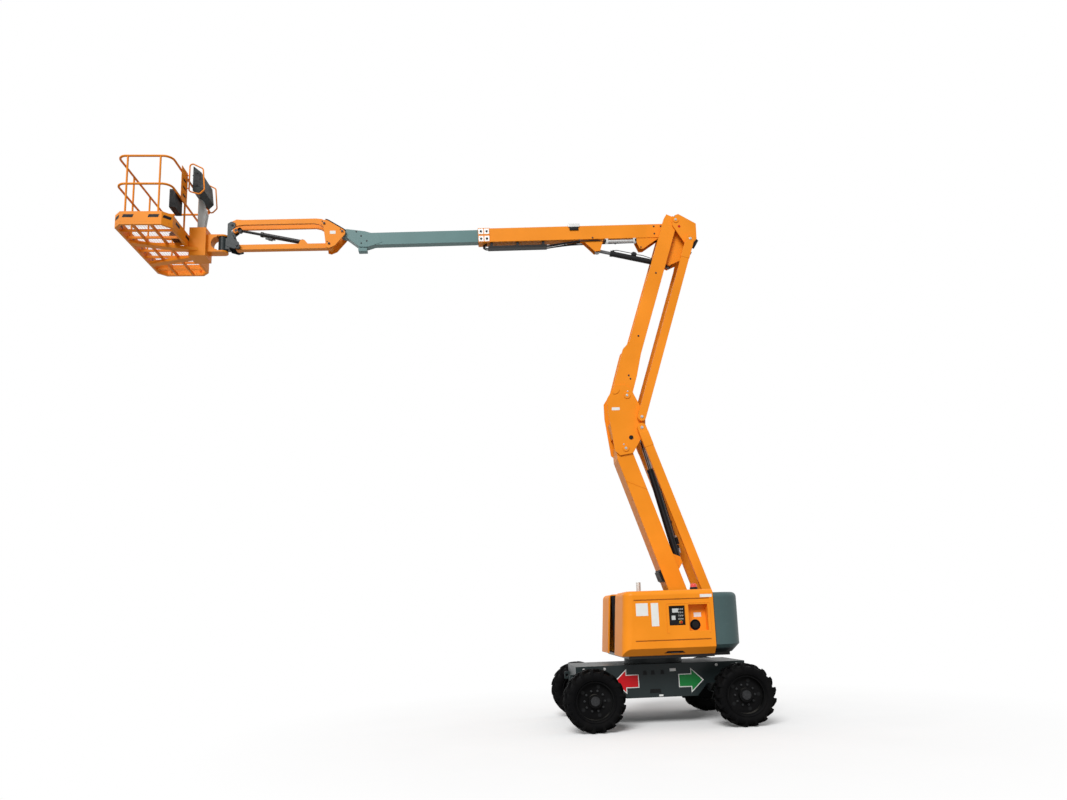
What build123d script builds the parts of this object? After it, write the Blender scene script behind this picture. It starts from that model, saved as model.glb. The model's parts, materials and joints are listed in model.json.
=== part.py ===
from build123d import *
import os
from math import atan2, cos, degrees, hypot, pi, radians, sin

# Articulating boom lift: a four-wheel base, a slewing turret, two folding arms with parallel links,
# a telescopic boom, a jib and a work platform. It stands as it works, arms up and boom level.
# Millimetres and degrees. +X is the way the boom points, +Y the machine's left, +Z up.
# The origin is on the ground, under the slewing axis and midway between the axles.

# Fits and small gaps
running_gap = 0.3
side_gap = 6.0

# Wheels
wheelbase = 2100.0
overall_width = 2300.0
tyre_diameter = 855.0
tyre_width = 315.0
tyre_sides = 28
lug_count = 14
lug_depth = 30.0
lug_thick = 46.0
lug_slant = 38.0
rim_radius = 262.0
rim_wall = 14.0
rim_width = 250.0
disc_offset = 34.0
disc_thickness = 18.0
hub_radius = 92.0
hub_reach = 118.0
spindle_radius = 34.0
spindle_depth = 70.0

# Axles and steering
axle_depth = 150.0
axle_neck = 122.0
kingpin_inset = 250.5
kingpin_radius = 22.0
kingpin_boss = 50.0
kingpin_height = 140.0
knuckle_ear = 28.0
pedestal_y = 360.0
pedestal_width = 150.0

# Base frame
frame_half = 540.0
frame_top = 860.0
frame_bottom = 390.0
frame_end_bottom = 560.0
frame_end_x = 1240.0
frame_belly_x = 520.0
frame_slope = 150.0
frame_wall = 14.0
tie_length = 75.0
tie_thickness = 25.0
tie_height = 110.0
tie_z = 690.0
tie_y = 400.0
tie_bore = 22.0

# Slewing ring
ring_radius = 430.0
ring_bore = 330.0
ring_height = 100.0

# Turret
turret_plate = 40.0
turret_half = 1080.0
turret_front = 630.0
turret_rear = -690.0
hood_bottom = frame_top + ring_height + turret_plate + 2 * running_gap
hood_top = 1900.0
hood_wall = 24.0
hood_corner = 130.0
hood_edge = 70.0
hood_skirt = 100.0
hood_lean = 60.0
groove_width = 16.0
groove_depth = 7.0
upper_groove_z = 1770.0
lower_groove_z = 1207.0
bulkhead_y = 302.0
bulkhead_wall = 14.0
panel_x = -164.0
panel_z = 1542.0
panel_width = 227.0
panel_height = 271.0
panel_depth = 120.0
alcove_x = -465.0
alcove_z = 1508.0
alcove_width = 272.0
alcove_height = 362.0
alcove_depth = 124.0
alcove_wall = 6.0
counterweight_rear = -1120.0
counterweight_bottom = 1015.0
counterweight_top = 1850.0
counterweight_corner = 380.0
counterweight_chamfer = 110.0
counterweight_edge = 70.0
notch_half = 296.0
notch_floor = 1450.0
engine_length = 700.0
engine_width = 430.0
engine_height = 560.0
tank_length = 330.0
tank_width = 300.0
tank_height = 520.0
filler_radius = 62.0
beacon_x = -560.0
beacon_y = 560.0
beacon_radius = 55.0
beacon_height = 110.0
exhaust_x = 20.0
exhaust_radius = 38.0
exhaust_height = 190.0

# Folding arms: pin places in side view
arm_foot_x = -690.0
arm_foot_z = 1250.0
lower_arm_length = 3044.0
lower_arm_angle = 71.72
link_back = 261.0
link_up = 314.0
knee_step = -64.0
knee_rise = 852.0
upper_link_back = 207.0
upper_link_down = 366.0
upper_arm_length = 3145.0
upper_arm_angle = 71.86

# Folding arms: sections, measured out from the middle plane
plate_inner = 190.0
plate_wall = 18.0
arm_half = plate_inner - side_gap
twin_inner = 104.0
link_width = 56.0
arm_wall = 8.0
drain_radius = 18.0
lower_arm_front = 184.0
lower_arm_back = 85.0
upper_arm_front = 188.0
upper_arm_flare = 255.0
upper_arm_back = 42.0
flare_start = 740.0
flare_end = 880.0
link_depth = 140.0
upper_link_depth = 132.0
pin_radius = 36.0
pin_boss = 72.0
pin_cap = 52.0
pin_cap_wall = 10.0
arm_end = 88.0

# Arm cylinder
arm_cylinder_along = 1134.0
arm_cylinder_off = 166.0
arm_barrel_radius = 56.0
arm_rod_radius = 33.0
arm_barrel_share = 0.70
arm_retract = 465.0
arm_eye_radius = 52.0
cylinder_eye_half = 42.0
cylinder_pin = 24.0
ear_wall = 16.0

# Head and boom
boom_pivot_back = 122.0
boom_pivot_down = 118.0
boom_slope = 1.3
boom_half = 80.0
boom_deep = 118.0
boom_wall = 8.0
boom_tail = 70.0
boom_length = 3385.0
boom_pin = 38.0
cheek_inner = 86.0
cheek_wall = 12.0
head_back = 305.0
head_back_wall = 26.0
lift_base_fore = 118.0
lift_base_down = 709.0
lift_eye_along = 1427.0
lift_eye_down = 291.0
lift_barrel_radius = 44.0
lift_rod_radius = 27.0
lift_barrel_share = 0.82
lift_retract = 110.0
lift_eye_radius = 48.0
inner_half = 60.0
inner_deep = 104.0
inner_wall = 8.0
inner_start = 2500.0
inner_end = 5345.0
nose_reach = 60.0
nose_box_drop = 100.0
collar_length = 190.0
collar_wall = 6.0
tray_start = 2260.0
tray_end = 3230.0
tray_drop = 60.0
tray_depth = 40.0
tray_wall = 5.0
tray_half = 58.0
level_start = 770.0
level_end = 1296.0
level_radius = 26.0
level_y = 50.0

lamp_along = 1800.0
lamp_length = 140.0
lamp_height = 42.0

# Jib: pins from the boom's nose
nose_along = 5575.0
nose_up = 113.0
jib_upper_fore = 290.0
jib_upper_up = 140.0
jib_lower_fore = 210.0
jib_lower_down = 210.0
jib_length = 1455.0
jib_droop = 0.77
jib_upper_inner = 64.0
jib_upper_outer = 100.0
jib_depth = 84.0
jib_lower_half = 48.0
jib_plate_inner = 106.0
jib_plate_wall = 16.0
jib_pin = 24.0
jib_boss = 52.0
jib_cross_radius = 22.0
jib_cylinder_along = 440.0
jib_cylinder_up = 86.0
jib_cylinder_back = 90.0
jib_cylinder_drop = 40.0
jib_barrel_radius = 36.0
jib_rod_radius = 21.0
jib_barrel_share = 0.668
jib_retract = 307.0
jib_eye_radius = 36.0
jib_eye_half = 38.0
rotator_fore = 170.0
rotator_radius = 74.0
rotator_height = 240.0
rotator_drop = 290.0

# Platform
platform_fore = 918.0
platform_length = 850.0
platform_width = 1830.0
platform_corner = 120.0
floor_drop = 380.0
floor_depth = 45.0
floor_frame = 40.0
floor_bar = 14.0
floor_bars_across = 2
floor_bars_along = 7
toe_height = 165.0
toe_wall = 5.0
toe_slot_length = 150.0
toe_slot_height = 40.0
rail_radius = 17.0
rail_bend = 130.0
post_radius = 14.5
rail_inset = 24.0
post_spread = 300.0
top_rail = 1102.0
mid_rail = 643.0
yoke_plate = 25.0
yoke_half = 84.0
column_half = 150.0
column_drop = 130.0
arch_radius = 110.0
column_depth = 260.0
column_height = 478.0
beam_width = 110.0
beam_depth = 50.0
beam_spread = 430.0
console_half = 260.0
console_rear = 229.0
console_front = 70.0
console_low = 830.0
console_top = 1300.0
stand_half = 45.0
guard_radius = 11.0
guard_bend = 45.0
guard_margin = 40.0
guard_panel_inner = 285.0
guard_panel_outer = 530.0
guard_panel_wall = 6.0
guard_panel_low = 590.0
guard_panel_high = 1150.0
document_inner = 360.0
document_outer = 640.0
document_depth = 90.0
document_height = 300.0
pedal_length = 120.0
pedal_width = 250.0
pedal_height = 110.0
pedal_y = 310.0
pedal_back = 130.0


def polar(point, length, angle):
    """The point at this length and angle from another, in side view."""
    return (point[0] + length * cos(radians(angle)), point[1] + length * sin(radians(angle)))


def shifted(point, fore, up):
    return (point[0] + fore, point[1] + up)


def along(start, angle):
    """The place of a member that leaves a pin at this angle: its own x runs along it."""
    return Pos(start[0], 0, start[1]) * Rot(0, -angle, 0)


def slab(points, y_low, y_high):
    """A plate seen from the side as these (x, z) points, between two widths."""
    outline = Plane.XZ.offset(-y_high) * Polygon(*points, align=None)
    return extrude(outline, amount=y_high - y_low, dir=(0, -1, 0))


def rod_y(point, radius, y_low, y_high):
    """A round bar across the machine."""
    return Pos(point[0], (y_low + y_high) / 2, point[1]) * Rot(90, 0, 0) * Cylinder(radius, y_high - y_low)


def rod_x(start, end, radius, y=0.0, z=0.0):
    """A round bar along a member's own x."""
    return Pos((start + end) / 2, y, z) * Rot(0, 90, 0) * Cylinder(radius, end - start)


def block(x_low, x_high, y_low, y_high, z_low, z_high):
    size = (x_high - x_low, y_high - y_low, z_high - z_low)
    return Pos((x_low + x_high) / 2, (y_low + y_high) / 2, (z_low + z_high) / 2) * Box(*size)


def both_sides(shape):
    return [shape, mirror(shape, about=Plane.XZ)]


def joined(shapes):
    """One solid from pieces that overlap."""
    whole = shapes[0]
    for shape in shapes[1:]:
        whole = whole + shape
    return whole


def box_beam(points, half, wall, open_wall):
    """A welded box section seen from the side as these points, with its two ends left open."""
    hollow = Plane.XZ.offset(-half + wall) * offset(Polygon(*points, align=None), amount=-wall)
    inside = extrude(hollow, amount=2 * (half - wall), dir=(0, -1, 0))
    return slab(points, -half, half) - inside - open_wall


# Pins in side view, at rest
wheel_z = tyre_diameter / 2
wheel_y = (overall_width - tyre_width) / 2
kingpin_y = wheel_y - kingpin_inset
axle_half = kingpin_y - axle_neck
arm_foot = (arm_foot_x, arm_foot_z)
link_foot = shifted(arm_foot, -link_back, link_up)
knee_low = polar(arm_foot, lower_arm_length, lower_arm_angle)
knee_link = shifted(knee_low, -link_back, link_up)
knee_high = shifted(knee_low, knee_step, knee_rise)
knee_upper_link = shifted(knee_high, -upper_link_back, -upper_link_down)
upper_arm_way = 180.0 - upper_arm_angle
head_pin = polar(knee_high, upper_arm_length, upper_arm_way)
head_link = shifted(head_pin, -upper_link_back, -upper_link_down)
boom_pivot = shifted(head_pin, -boom_pivot_back, -boom_pivot_down)
lift_base = shifted(head_pin, lift_base_fore, -lift_base_down)
boom_place = along(boom_pivot, -boom_slope)


def on_boom(fore, up):
    """A point of the boom's own side view, in the machine's."""
    place = polar(boom_pivot, fore, -boom_slope)
    return polar(place, up, 90.0 - boom_slope)


lift_eye = on_boom(lift_eye_along, -lift_eye_down)
nose_pin = on_boom(nose_along, nose_up)
jib_high = shifted(nose_pin, jib_upper_fore, jib_upper_up)
jib_low = shifted(nose_pin, jib_lower_fore, -jib_lower_down)
jib_high_end = polar(jib_high, jib_length, -jib_droop)
jib_low_end = polar(jib_low, jib_length, -jib_droop)
jib_cylinder_foot = polar(polar(jib_low, jib_cylinder_along, -jib_droop), jib_cylinder_up, 90.0 - jib_droop)
jib_cylinder_eye = shifted(jib_high_end, -jib_cylinder_back, -jib_cylinder_drop)
rotator_x = jib_high_end[0] + rotator_fore
rotator_z = jib_high_end[1] - rotator_drop
platform_x = rotator_x + platform_fore
floor_top = jib_high_end[1] - floor_drop + floor_depth / 2
floor_bottom = floor_top - floor_depth
platform_rear = platform_x - platform_length / 2
column_x = platform_rear - column_depth - 4
column_low = floor_bottom - column_drop
column_top = column_low + column_height

# Widths of the plates and links
plate_outer = plate_inner + plate_wall
link_inner = plate_outer + side_gap
link_outer = link_inner + link_width
cheek_outer = cheek_inner + cheek_wall
turret_floor = frame_top + ring_height + running_gap
turret_deck = turret_floor + turret_plate
filler_place = (alcove_x + 20, alcove_z - alcove_height / 2 + filler_radius + 16)


def tyre_section(radius, y):
    return Plane.XZ.offset(-y) * RegularPolygon(radius, tyre_sides)


def tyre():
    """Tyre carcass with a chevron of lugs, out to their tips, about the wheel's own centre."""
    half = tyre_width / 2
    tread = tyre_diameter / 2 - lug_depth
    seat = (rim_radius + running_gap) / cos(pi / tyre_sides)
    right = [(tread, half - 34), (tread - 30, half - 4), (seat + 80, half), (seat + 12, rim_width / 2)]
    sections = [tyre_section(radius, -y) for radius, y in reversed(right)]
    sections += [tyre_section(radius, y) for radius, y in right]
    carcass = loft(sections, ruled=True)
    reach = (half - lug_thick * sin(radians(lug_slant)) - 2) / cos(radians(lug_slant))
    side_reach = (reach * sin(radians(lug_slant)) + lug_thick * cos(radians(lug_slant))) / 2
    face = (tyre_diameter ** 2 / 4 - side_reach ** 2) ** 0.5
    root = tread - 16
    lugs = []
    for hand in (-1, 1):
        for i in range(lug_count):
            turn = Rot(0, 360.0 * (i + hand / 4) / lug_count, 0)
            place = turn * Pos((face + root) / 2, hand * half / 2, 0) * Rot(hand * lug_slant, 0, 0)
            lugs.append(place * Box(face - root, reach, lug_thick))
    bore = extrude(tyre_section(seat, half), amount=tyre_width, dir=(0, -1, 0))
    return carcass + lugs - bore


def rim(side, x):
    """Rim barrel, dished disc and hub, bored for the spindle from inside."""
    barrel = Cylinder(rim_radius, rim_width) - Cylinder(rim_radius - rim_wall, rim_width)
    disc = Pos(0, 0, disc_offset) * Cylinder(rim_radius - rim_wall / 2, disc_thickness)
    hub_start = disc_offset - spindle_depth - disc_thickness
    hub = Pos(0, 0, (hub_start + hub_reach) / 2) * Cylinder(hub_radius, hub_reach - hub_start)
    bore = Pos(0, 0, hub_start + spindle_depth / 2) * Cylinder(spindle_radius + running_gap, spindle_depth)
    return Pos(x, side * wheel_y, wheel_z) * Rot(-90 * side, 0, 0) * (barrel + disc + hub - bore)


hub_face = wheel_y + disc_offset - spindle_depth - disc_thickness
spindle_end = hub_face + spindle_depth - 6


def axle_beam(x):
    """Axle tube on two pedestals under the frame."""
    half = axle_depth / 2
    beam = block(x - half, x + half, -axle_half, axle_half, wheel_z - half, wheel_z + half)
    rise = frame_end_bottom - wheel_z
    post = block(x - half + 10, x + half - 10, pedestal_y - pedestal_width, pedestal_y, wheel_z,
                 wheel_z + rise)
    return joined([beam] + both_sides(post))


def front_axle():
    """Steered axle: a bored boss at each end takes the kingpin."""
    x = wheelbase / 2
    neck = block(x - 38, x + 38, axle_half - 20, kingpin_y, wheel_z - 50, wheel_z + 50)
    boss = Pos(x, kingpin_y, wheel_z) * Cylinder(kingpin_boss, kingpin_height)
    bore = Pos(x, kingpin_y, wheel_z) * Cylinder(kingpin_radius + running_gap, kingpin_height)
    ends = both_sides(neck + boss)
    bores = both_sides(bore)
    return axle_beam(x) + ends[0] + ends[1] - bores[0] - bores[1]


def rear_axle():
    x = -wheelbase / 2
    flange = rod_y((x, wheel_z), axle_depth / 2 - 8, axle_half - 20, hub_face - 8)
    spindle = rod_y((x, wheel_z), spindle_radius, hub_face - 20, spindle_end)
    return joined([axle_beam(x)] + both_sides(flange) + both_sides(spindle))


def knuckle(side):
    """Steering knuckle: two ears over and under the axle boss, the kingpin and the wheel spindle."""
    x = wheelbase / 2
    ear_low = kingpin_height / 2 + running_gap
    back = kingpin_y + kingpin_boss + side_gap
    ear = block(x - 46, x + 46, kingpin_y - 46, back + 22, wheel_z + ear_low, wheel_z + ear_low + knuckle_ear)
    low_ear = Pos(0, 0, -2 * ear_low - knuckle_ear) * ear
    reach = ear_low + knuckle_ear
    web = block(x - 46, x + 46, back, back + 22, wheel_z - reach, wheel_z + reach)
    pin = Pos(x, kingpin_y, wheel_z) * Cylinder(kingpin_radius, 2 * reach)
    spindle = rod_y((x, wheel_z), spindle_radius, back, spindle_end)
    arm = block(x - 150, x - 40, kingpin_y - 20, kingpin_y + 20, wheel_z - reach, wheel_z - ear_low)
    whole = joined([ear, low_ear, web, pin, spindle, arm])
    return whole if side > 0 else mirror(whole, about=Plane.XZ)


def chassis_frame():
    """Deep welded belly between the axles, raised ends over them, and tie-down eyes at the corners."""
    low = frame_belly_x + frame_slope
    outline = [
        (-frame_end_x, frame_top), (-frame_end_x, frame_end_bottom), (-low, frame_end_bottom),
        (-frame_belly_x, frame_bottom), (frame_belly_x, frame_bottom), (low, frame_end_bottom),
        (frame_end_x, frame_end_bottom), (frame_end_x, frame_top),
    ]
    hole = Pos(0, 0, frame_top) * Cylinder(ring_bore, 4 * frame_wall)
    body = box_beam(outline, frame_half, frame_wall, hole)
    eyes = []
    for end in (-1, 1):
        for side in (-1, 1):
            middle = (end * (frame_end_x + tie_length / 2), tie_z)
            plate = Pos(middle[0], side * tie_y, middle[1]) * Box(tie_length, tie_thickness, tie_height)
            bore = rod_y(middle, tie_bore, side * tie_y - tie_thickness, side * tie_y + tie_thickness)
            eyes.append(plate - bore)
    return joined([body] + eyes)


def slew_ring():
    ring = Cylinder(ring_radius, ring_height) - Cylinder(ring_bore, ring_height)
    return Pos(0, 0, frame_top + ring_height / 2) * ring


def turret_frame():
    """Slewing plate, the sill under the counterweight and a bulkhead each side of the arms."""
    plate_half = turret_half - hood_skirt - 20
    plate = block(turret_rear, turret_front - hood_skirt, -plate_half, plate_half, turret_floor, turret_deck)
    sill_half = turret_half - counterweight_corner
    sill = block(counterweight_rear + counterweight_chamfer + 20, turret_rear, -sill_half, sill_half,
                 turret_floor, counterweight_bottom)
    wall = block(turret_rear, turret_front - hood_skirt, bulkhead_y, bulkhead_y + bulkhead_wall,
                 turret_deck - 5, hood_top - 20)
    return joined([plate, sill] + both_sides(wall))


def turret_upright():
    """One of the two plates that carry the feet of the lower arm and of its links."""
    foot, link = arm_foot, link_foot
    points = [
        (foot[0] + 210, turret_deck), (foot[0] + 210, foot[1] - 90), (foot[0] + 95, foot[1] + 85),
        (link[0] + 75, link[1] + 85), (link[0] - 20, link[1] + 90), (link[0] - 88, link[1] + 30),
        (link[0] - 92, counterweight_bottom), (turret_rear, counterweight_bottom), (turret_rear, turret_deck),
    ]
    plate = slab(points, plate_inner, plate_outer)
    arm_pin = rod_y(foot, pin_radius, plate_inner - 60, plate_outer)
    arm_cap = rod_y(foot, pin_cap, plate_outer, plate_outer + pin_cap_wall)
    link_pin = rod_y(link, pin_radius, plate_inner, link_outer)
    return joined([plate, arm_pin, arm_cap, link_pin])


def hood_front(inset):
    """The room ahead of the hood's leaning front, drawn in by this much."""
    front = turret_front - inset
    points = [
        (front, hood_bottom), (front - hood_lean, hood_top), (turret_front + hood_lean, hood_top),
        (turret_front + hood_lean, hood_bottom),
    ]
    return slab(points, 0, turret_half + hood_lean)


def rounded_corner(solid, y, radius):
    """The same solid with its upright front corner at this width rounded."""
    corner = []
    for edge in solid.edges():
        middle = edge.center()
        upright = abs(edge.tangent_at(0.5).Z) > 0.9
        if upright and abs(middle.Y - y) < 1 and middle.X > turret_front - 2 * hood_lean:
            corner.append(edge)
    return fillet(corner, radius)


def hood_shape():
    """The outside of the left hood."""
    inner = bulkhead_y + bulkhead_wall + side_gap
    outline = [
        (inner, hood_bottom), (turret_half - hood_skirt, hood_bottom),
        (turret_half, hood_bottom + hood_skirt),
        (turret_half, hood_top), (inner, hood_top),
    ]
    section = Plane.YZ.offset(turret_rear) * Polygon(*outline, align=None)
    solid = extrude(section, amount=turret_front - turret_rear, dir=(1, 0, 0)) - hood_front(0)
    solid = rounded_corner(solid, turret_half, hood_corner)
    top_edges = solid.edges().group_by(Axis.Z)[-1]
    outer_edges = [edge for edge in top_edges if edge.center().Y > inner + 1]
    return fillet([edge for edge in outer_edges if edge.center().X > turret_rear + 1], hood_edge)


def alcove_liner():
    """Tray behind the filler's opening in the left hood, holed for the cap."""
    back = turret_half - hood_wall - alcove_depth + 2 * alcove_wall
    half_x, half_z = alcove_width / 2, alcove_height / 2
    tray = block(alcove_x - half_x - alcove_wall, alcove_x + half_x + alcove_wall, back,
                 turret_half - hood_wall / 2, alcove_z - half_z - alcove_wall,
                 alcove_z + half_z + alcove_wall)
    room = block(alcove_x - half_x, alcove_x + half_x, back + alcove_wall, turret_half,
                 alcove_z - half_z, alcove_z + half_z)
    return tray - room - rod_y(filler_place, filler_radius + 4, back - 1, back + alcove_wall + 1)


def hood(side):
    """Engine or tank hood: a moulded shell, open below and towards the arms, with two pressed grooves."""
    shell = hood_shape()
    length = turret_front - turret_rear
    inner = bulkhead_y + bulkhead_wall + side_gap
    room = block(turret_rear + hood_wall, turret_front, inner, turret_half - hood_wall,
                 hood_bottom, hood_top - hood_wall) - hood_front(hood_wall)
    room = rounded_corner(room, turret_half - hood_wall, hood_corner - hood_wall)
    skirt = [
        (turret_half - hood_skirt - hood_wall, hood_bottom), (turret_half, hood_bottom),
        (turret_half, hood_bottom + hood_skirt + hood_wall),
    ]
    corner = Plane.YZ.offset(turret_rear) * Polygon(*skirt, align=None)
    room = room - extrude(corner, amount=length, dir=(1, 0, 0))
    shell = shell - room
    for z in (upper_groove_z, lower_groove_z):
        shell = shell - block(turret_rear + 60, turret_front - hood_lean - hood_corner,
                              turret_half - groove_depth,
                              turret_half + groove_depth, z - groove_width / 2, z + groove_width / 2)
    if side > 0:
        window = Pos(panel_x, turret_half, panel_z) * Box(panel_width, 4 * hood_wall, panel_height)
        alcove = Pos(alcove_x, turret_half, alcove_z) * Box(alcove_width, 4 * hood_wall, alcove_height)
        return shell - window - alcove + alcove_liner()
    return mirror(shell, about=Plane.XZ)


def counterweight():
    """Cast weight with round rear corners, slotted down the middle for the arms and the folded head."""
    depth = turret_rear - side_gap - counterweight_rear
    middle = (turret_rear - side_gap + counterweight_rear) / 2
    tall = counterweight_top - counterweight_bottom
    body = Pos(middle, 0, (counterweight_top + counterweight_bottom) / 2) * Box(depth, 2 * turret_half, tall)
    rear_edges = body.edges().filter_by(Axis.Z).sort_by(Axis.X)[:2]
    body = fillet(rear_edges, counterweight_corner)
    body = chamfer(body.faces().sort_by(Axis.Z)[0].edges().sort_by(Axis.X)[:-1], counterweight_chamfer)
    body = fillet(body.faces().sort_by(Axis.Z)[-1].edges().sort_by(Axis.X)[:-1], counterweight_edge)
    slot = block(link_foot[0] - 104, turret_rear, -notch_half, notch_half, counterweight_bottom,
                 counterweight_top)
    notch = block(counterweight_rear, turret_rear, -notch_half, notch_half, notch_floor, counterweight_top)
    return body - slot - notch


def engine_block():
    middle_y = -(bulkhead_y + turret_half) / 2
    return Pos(0, middle_y, turret_deck + engine_height / 2) * Box(engine_length, engine_width, engine_height)


def fuel_tank():
    """Tank behind the alcove of the left hood, with its filler cap behind the alcove's hole."""
    face = turret_half - hood_wall - alcove_depth
    tank = block(alcove_x - tank_length / 2, alcove_x + tank_length / 2, face - tank_width, face,
                 turret_deck, turret_deck + tank_height)
    return tank + rod_y(filler_place, filler_radius - 4, face - 5, face + alcove_wall)


def ground_controls():
    """Lower control box, on a post behind the window of the left hood."""
    face = turret_half - hood_wall - side_gap
    box = block(panel_x - panel_width / 2 - 6, panel_x + panel_width / 2 + 6, face - panel_depth, face,
                panel_z - panel_height / 2 - 6, panel_z + panel_height / 2 + 6)
    post = block(panel_x - 40, panel_x + 40, face - panel_depth, face - panel_depth + 16, turret_deck,
                 panel_z)
    return box + post


def beacon():
    base = Pos(beacon_x, beacon_y, hood_top + 12) * Cylinder(beacon_radius * 1.05, 24)
    dome = Pos(beacon_x, beacon_y, hood_top + 24 + beacon_height / 2) * Cylinder(beacon_radius * 0.8,
                                                                                 beacon_height)
    top = dome.edges().sort_by(Axis.Z)[-1:]
    return base + fillet(top, beacon_radius * 0.6)


def exhaust():
    y = -(bulkhead_y + turret_half) / 2
    pipe = Pos(exhaust_x, y, hood_top + exhaust_height / 2) * Cylinder(exhaust_radius, exhaust_height)
    return pipe - Pos(exhaust_x, y, hood_top + exhaust_height) * Cylinder(exhaust_radius - 4, exhaust_height)


def lower_arm():
    """Box arm with a bored boss at each end and two ears for the arm cylinder."""
    outline = [
        (-arm_end, -lower_arm_front + 70), (60, -lower_arm_front), (lower_arm_length - 120, -lower_arm_front),
        (lower_arm_length + arm_end, -lower_arm_front + 60),
        (lower_arm_length + arm_end, lower_arm_back - 20),
        (lower_arm_length + 20, lower_arm_back), (20, lower_arm_back), (-arm_end, lower_arm_back - 20),
    ]
    mouth = block(-arm_end - 1, -arm_end + 2 * arm_wall, -arm_half + arm_wall, arm_half - arm_wall, -70, 50)
    body = box_beam(outline, arm_half, arm_wall, mouth)
    bosses = []
    bores = []
    for x in (0, lower_arm_length):
        bosses += both_sides(rod_y((x, 0), pin_boss, plate_inner - 60, plate_inner - running_gap))
        bores += both_sides(rod_y((x, 0), pin_radius + running_gap, plate_inner - 62, plate_inner))
    ear_inner = arm_barrel_radius + side_gap
    eye = (arm_cylinder_along, arm_cylinder_off)
    ear_points = [
        (eye[0] - 150, lower_arm_back - 4), (eye[0] + 150, lower_arm_back - 4),
        (eye[0] + 48, eye[1] + 38), (eye[0] - 48, eye[1] + 38),
    ]
    ears = both_sides(slab(ear_points, ear_inner, ear_inner + ear_wall))
    pin = rod_y(eye, cylinder_pin, -ear_inner - ear_wall, ear_inner + ear_wall)
    whole = joined([body] + bosses + ears + [pin])
    for bore in bores:
        whole = whole - bore
    return along(arm_foot, lower_arm_angle) * whole


def link_bar(start, angle, length, depth):
    """A round-ended link outside the plates, bored at both pins."""
    half = depth / 2
    bar = block(0, length, link_inner, link_outer, -half, half)
    ends = [rod_y((x, 0), half, link_inner, link_outer) for x in (0, length)]
    collars = [rod_y((x, 0), pin_boss - 14, plate_outer + running_gap, link_inner + 4) for x in (0, length)]
    room = block(pin_boss + half, length - pin_boss - half, link_inner + arm_wall, link_outer - arm_wall,
                 -half + arm_wall, half - arm_wall)
    drain = rod_y((length / 2, 0), drain_radius, link_inner - 1, link_inner + 2 * arm_wall)
    whole = joined([bar] + ends + collars) - room - drain
    for x in (0, length):
        whole = whole - rod_y((x, 0), pin_radius + running_gap, plate_outer, link_outer)
    return along(start, angle) * whole


def knee_plate():
    """Knee side plate, with pins inwards for the arms and outwards for the links."""
    low, high = knee_low, knee_high
    points = [
        shifted(high, 180, 172), shifted(high, 314, -38), shifted(high, 313, -273), shifted(low, 173, -38),
        shifted(low, 94, -112), shifted(low, -112, -80), shifted(knee_link, -64, -40),
        shifted(knee_link, -70, 70), shifted(knee_upper_link, -68, 30), shifted(high, -110, 20),
        shifted(high, -83, 92), shifted(high, 20, 170),
    ]
    plate = slab(points, plate_inner, plate_outer)
    pieces = [plate]
    for pin in (low, high):
        pieces.append(rod_y(pin, pin_radius, plate_inner - 60, plate_outer))
        pieces.append(rod_y(pin, pin_cap, plate_outer, plate_outer + pin_cap_wall))
    for pin in (knee_link, knee_upper_link):
        pieces.append(rod_y(pin, pin_radius, plate_inner, link_outer))
    return joined(pieces)


def knee_tie():
    """Welded web between the knee plates, with ears for the top of the arm cylinder."""
    link = knee_link
    front = [
        shifted(knee_low, 165, 200), shifted(knee_low, 205, 440), shifted(knee_low, 60, 446),
        shifted(knee_low, 20, 330), shifted(knee_low, 60, 215),
    ]
    web = slab(front, -plate_inner, plate_inner)
    ear_inner = cylinder_eye_half + side_gap / 2
    ear_points = [
        shifted(knee_low, 70, 250), shifted(knee_low, 70, 430), shifted(link, -30, 60),
        shifted(link, -58, 0), shifted(link, -10, -56),
    ]
    return joined([web] + both_sides(slab(ear_points, ear_inner + 2, ear_inner + 2 + ear_wall)))


def upper_arm():
    """One of the twin upper arms, flared towards the knee and bored at both pins."""
    outline = [
        (-110, -upper_arm_flare + 80), (-60, -upper_arm_flare + 20), (flare_start, -upper_arm_flare),
        (flare_end, -upper_arm_front), (upper_arm_length - 20, -upper_arm_front),
        (upper_arm_length + 60, -upper_arm_front + 20), (upper_arm_length + 40, upper_arm_back - 34),
        (upper_arm_length - 180, upper_arm_back), (flare_start, upper_arm_back),
        (flare_start / 2, upper_arm_back + 32), (-70, upper_arm_back + 40), (-118, 0),
    ]
    section = slab(outline, twin_inner, arm_half)
    cut = offset(Polygon(*outline, align=None), amount=-2 * arm_wall)
    room = arm_half - twin_inner - 2 * arm_wall
    hollow = extrude(Plane.XZ.offset(-arm_half + arm_wall) * cut, amount=room, dir=(0, -1, 0))
    bosses = [rod_y((x, 0), pin_boss, twin_inner, plate_inner - running_gap) for x in (0, upper_arm_length)]
    mouth = block(upper_arm_length / 2 - 60, upper_arm_length / 2 + 60, twin_inner - 1,
                  twin_inner + 2 * arm_wall,
                  -upper_arm_front / 2 - 30, -upper_arm_front / 2 + 30)
    whole = joined([section - hollow] + bosses) - mouth
    for x in (0, upper_arm_length):
        whole = whole - rod_y((x, 0), pin_radius + running_gap, plate_inner - 62, plate_inner)
    return along(knee_high, upper_arm_way) * whole


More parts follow.
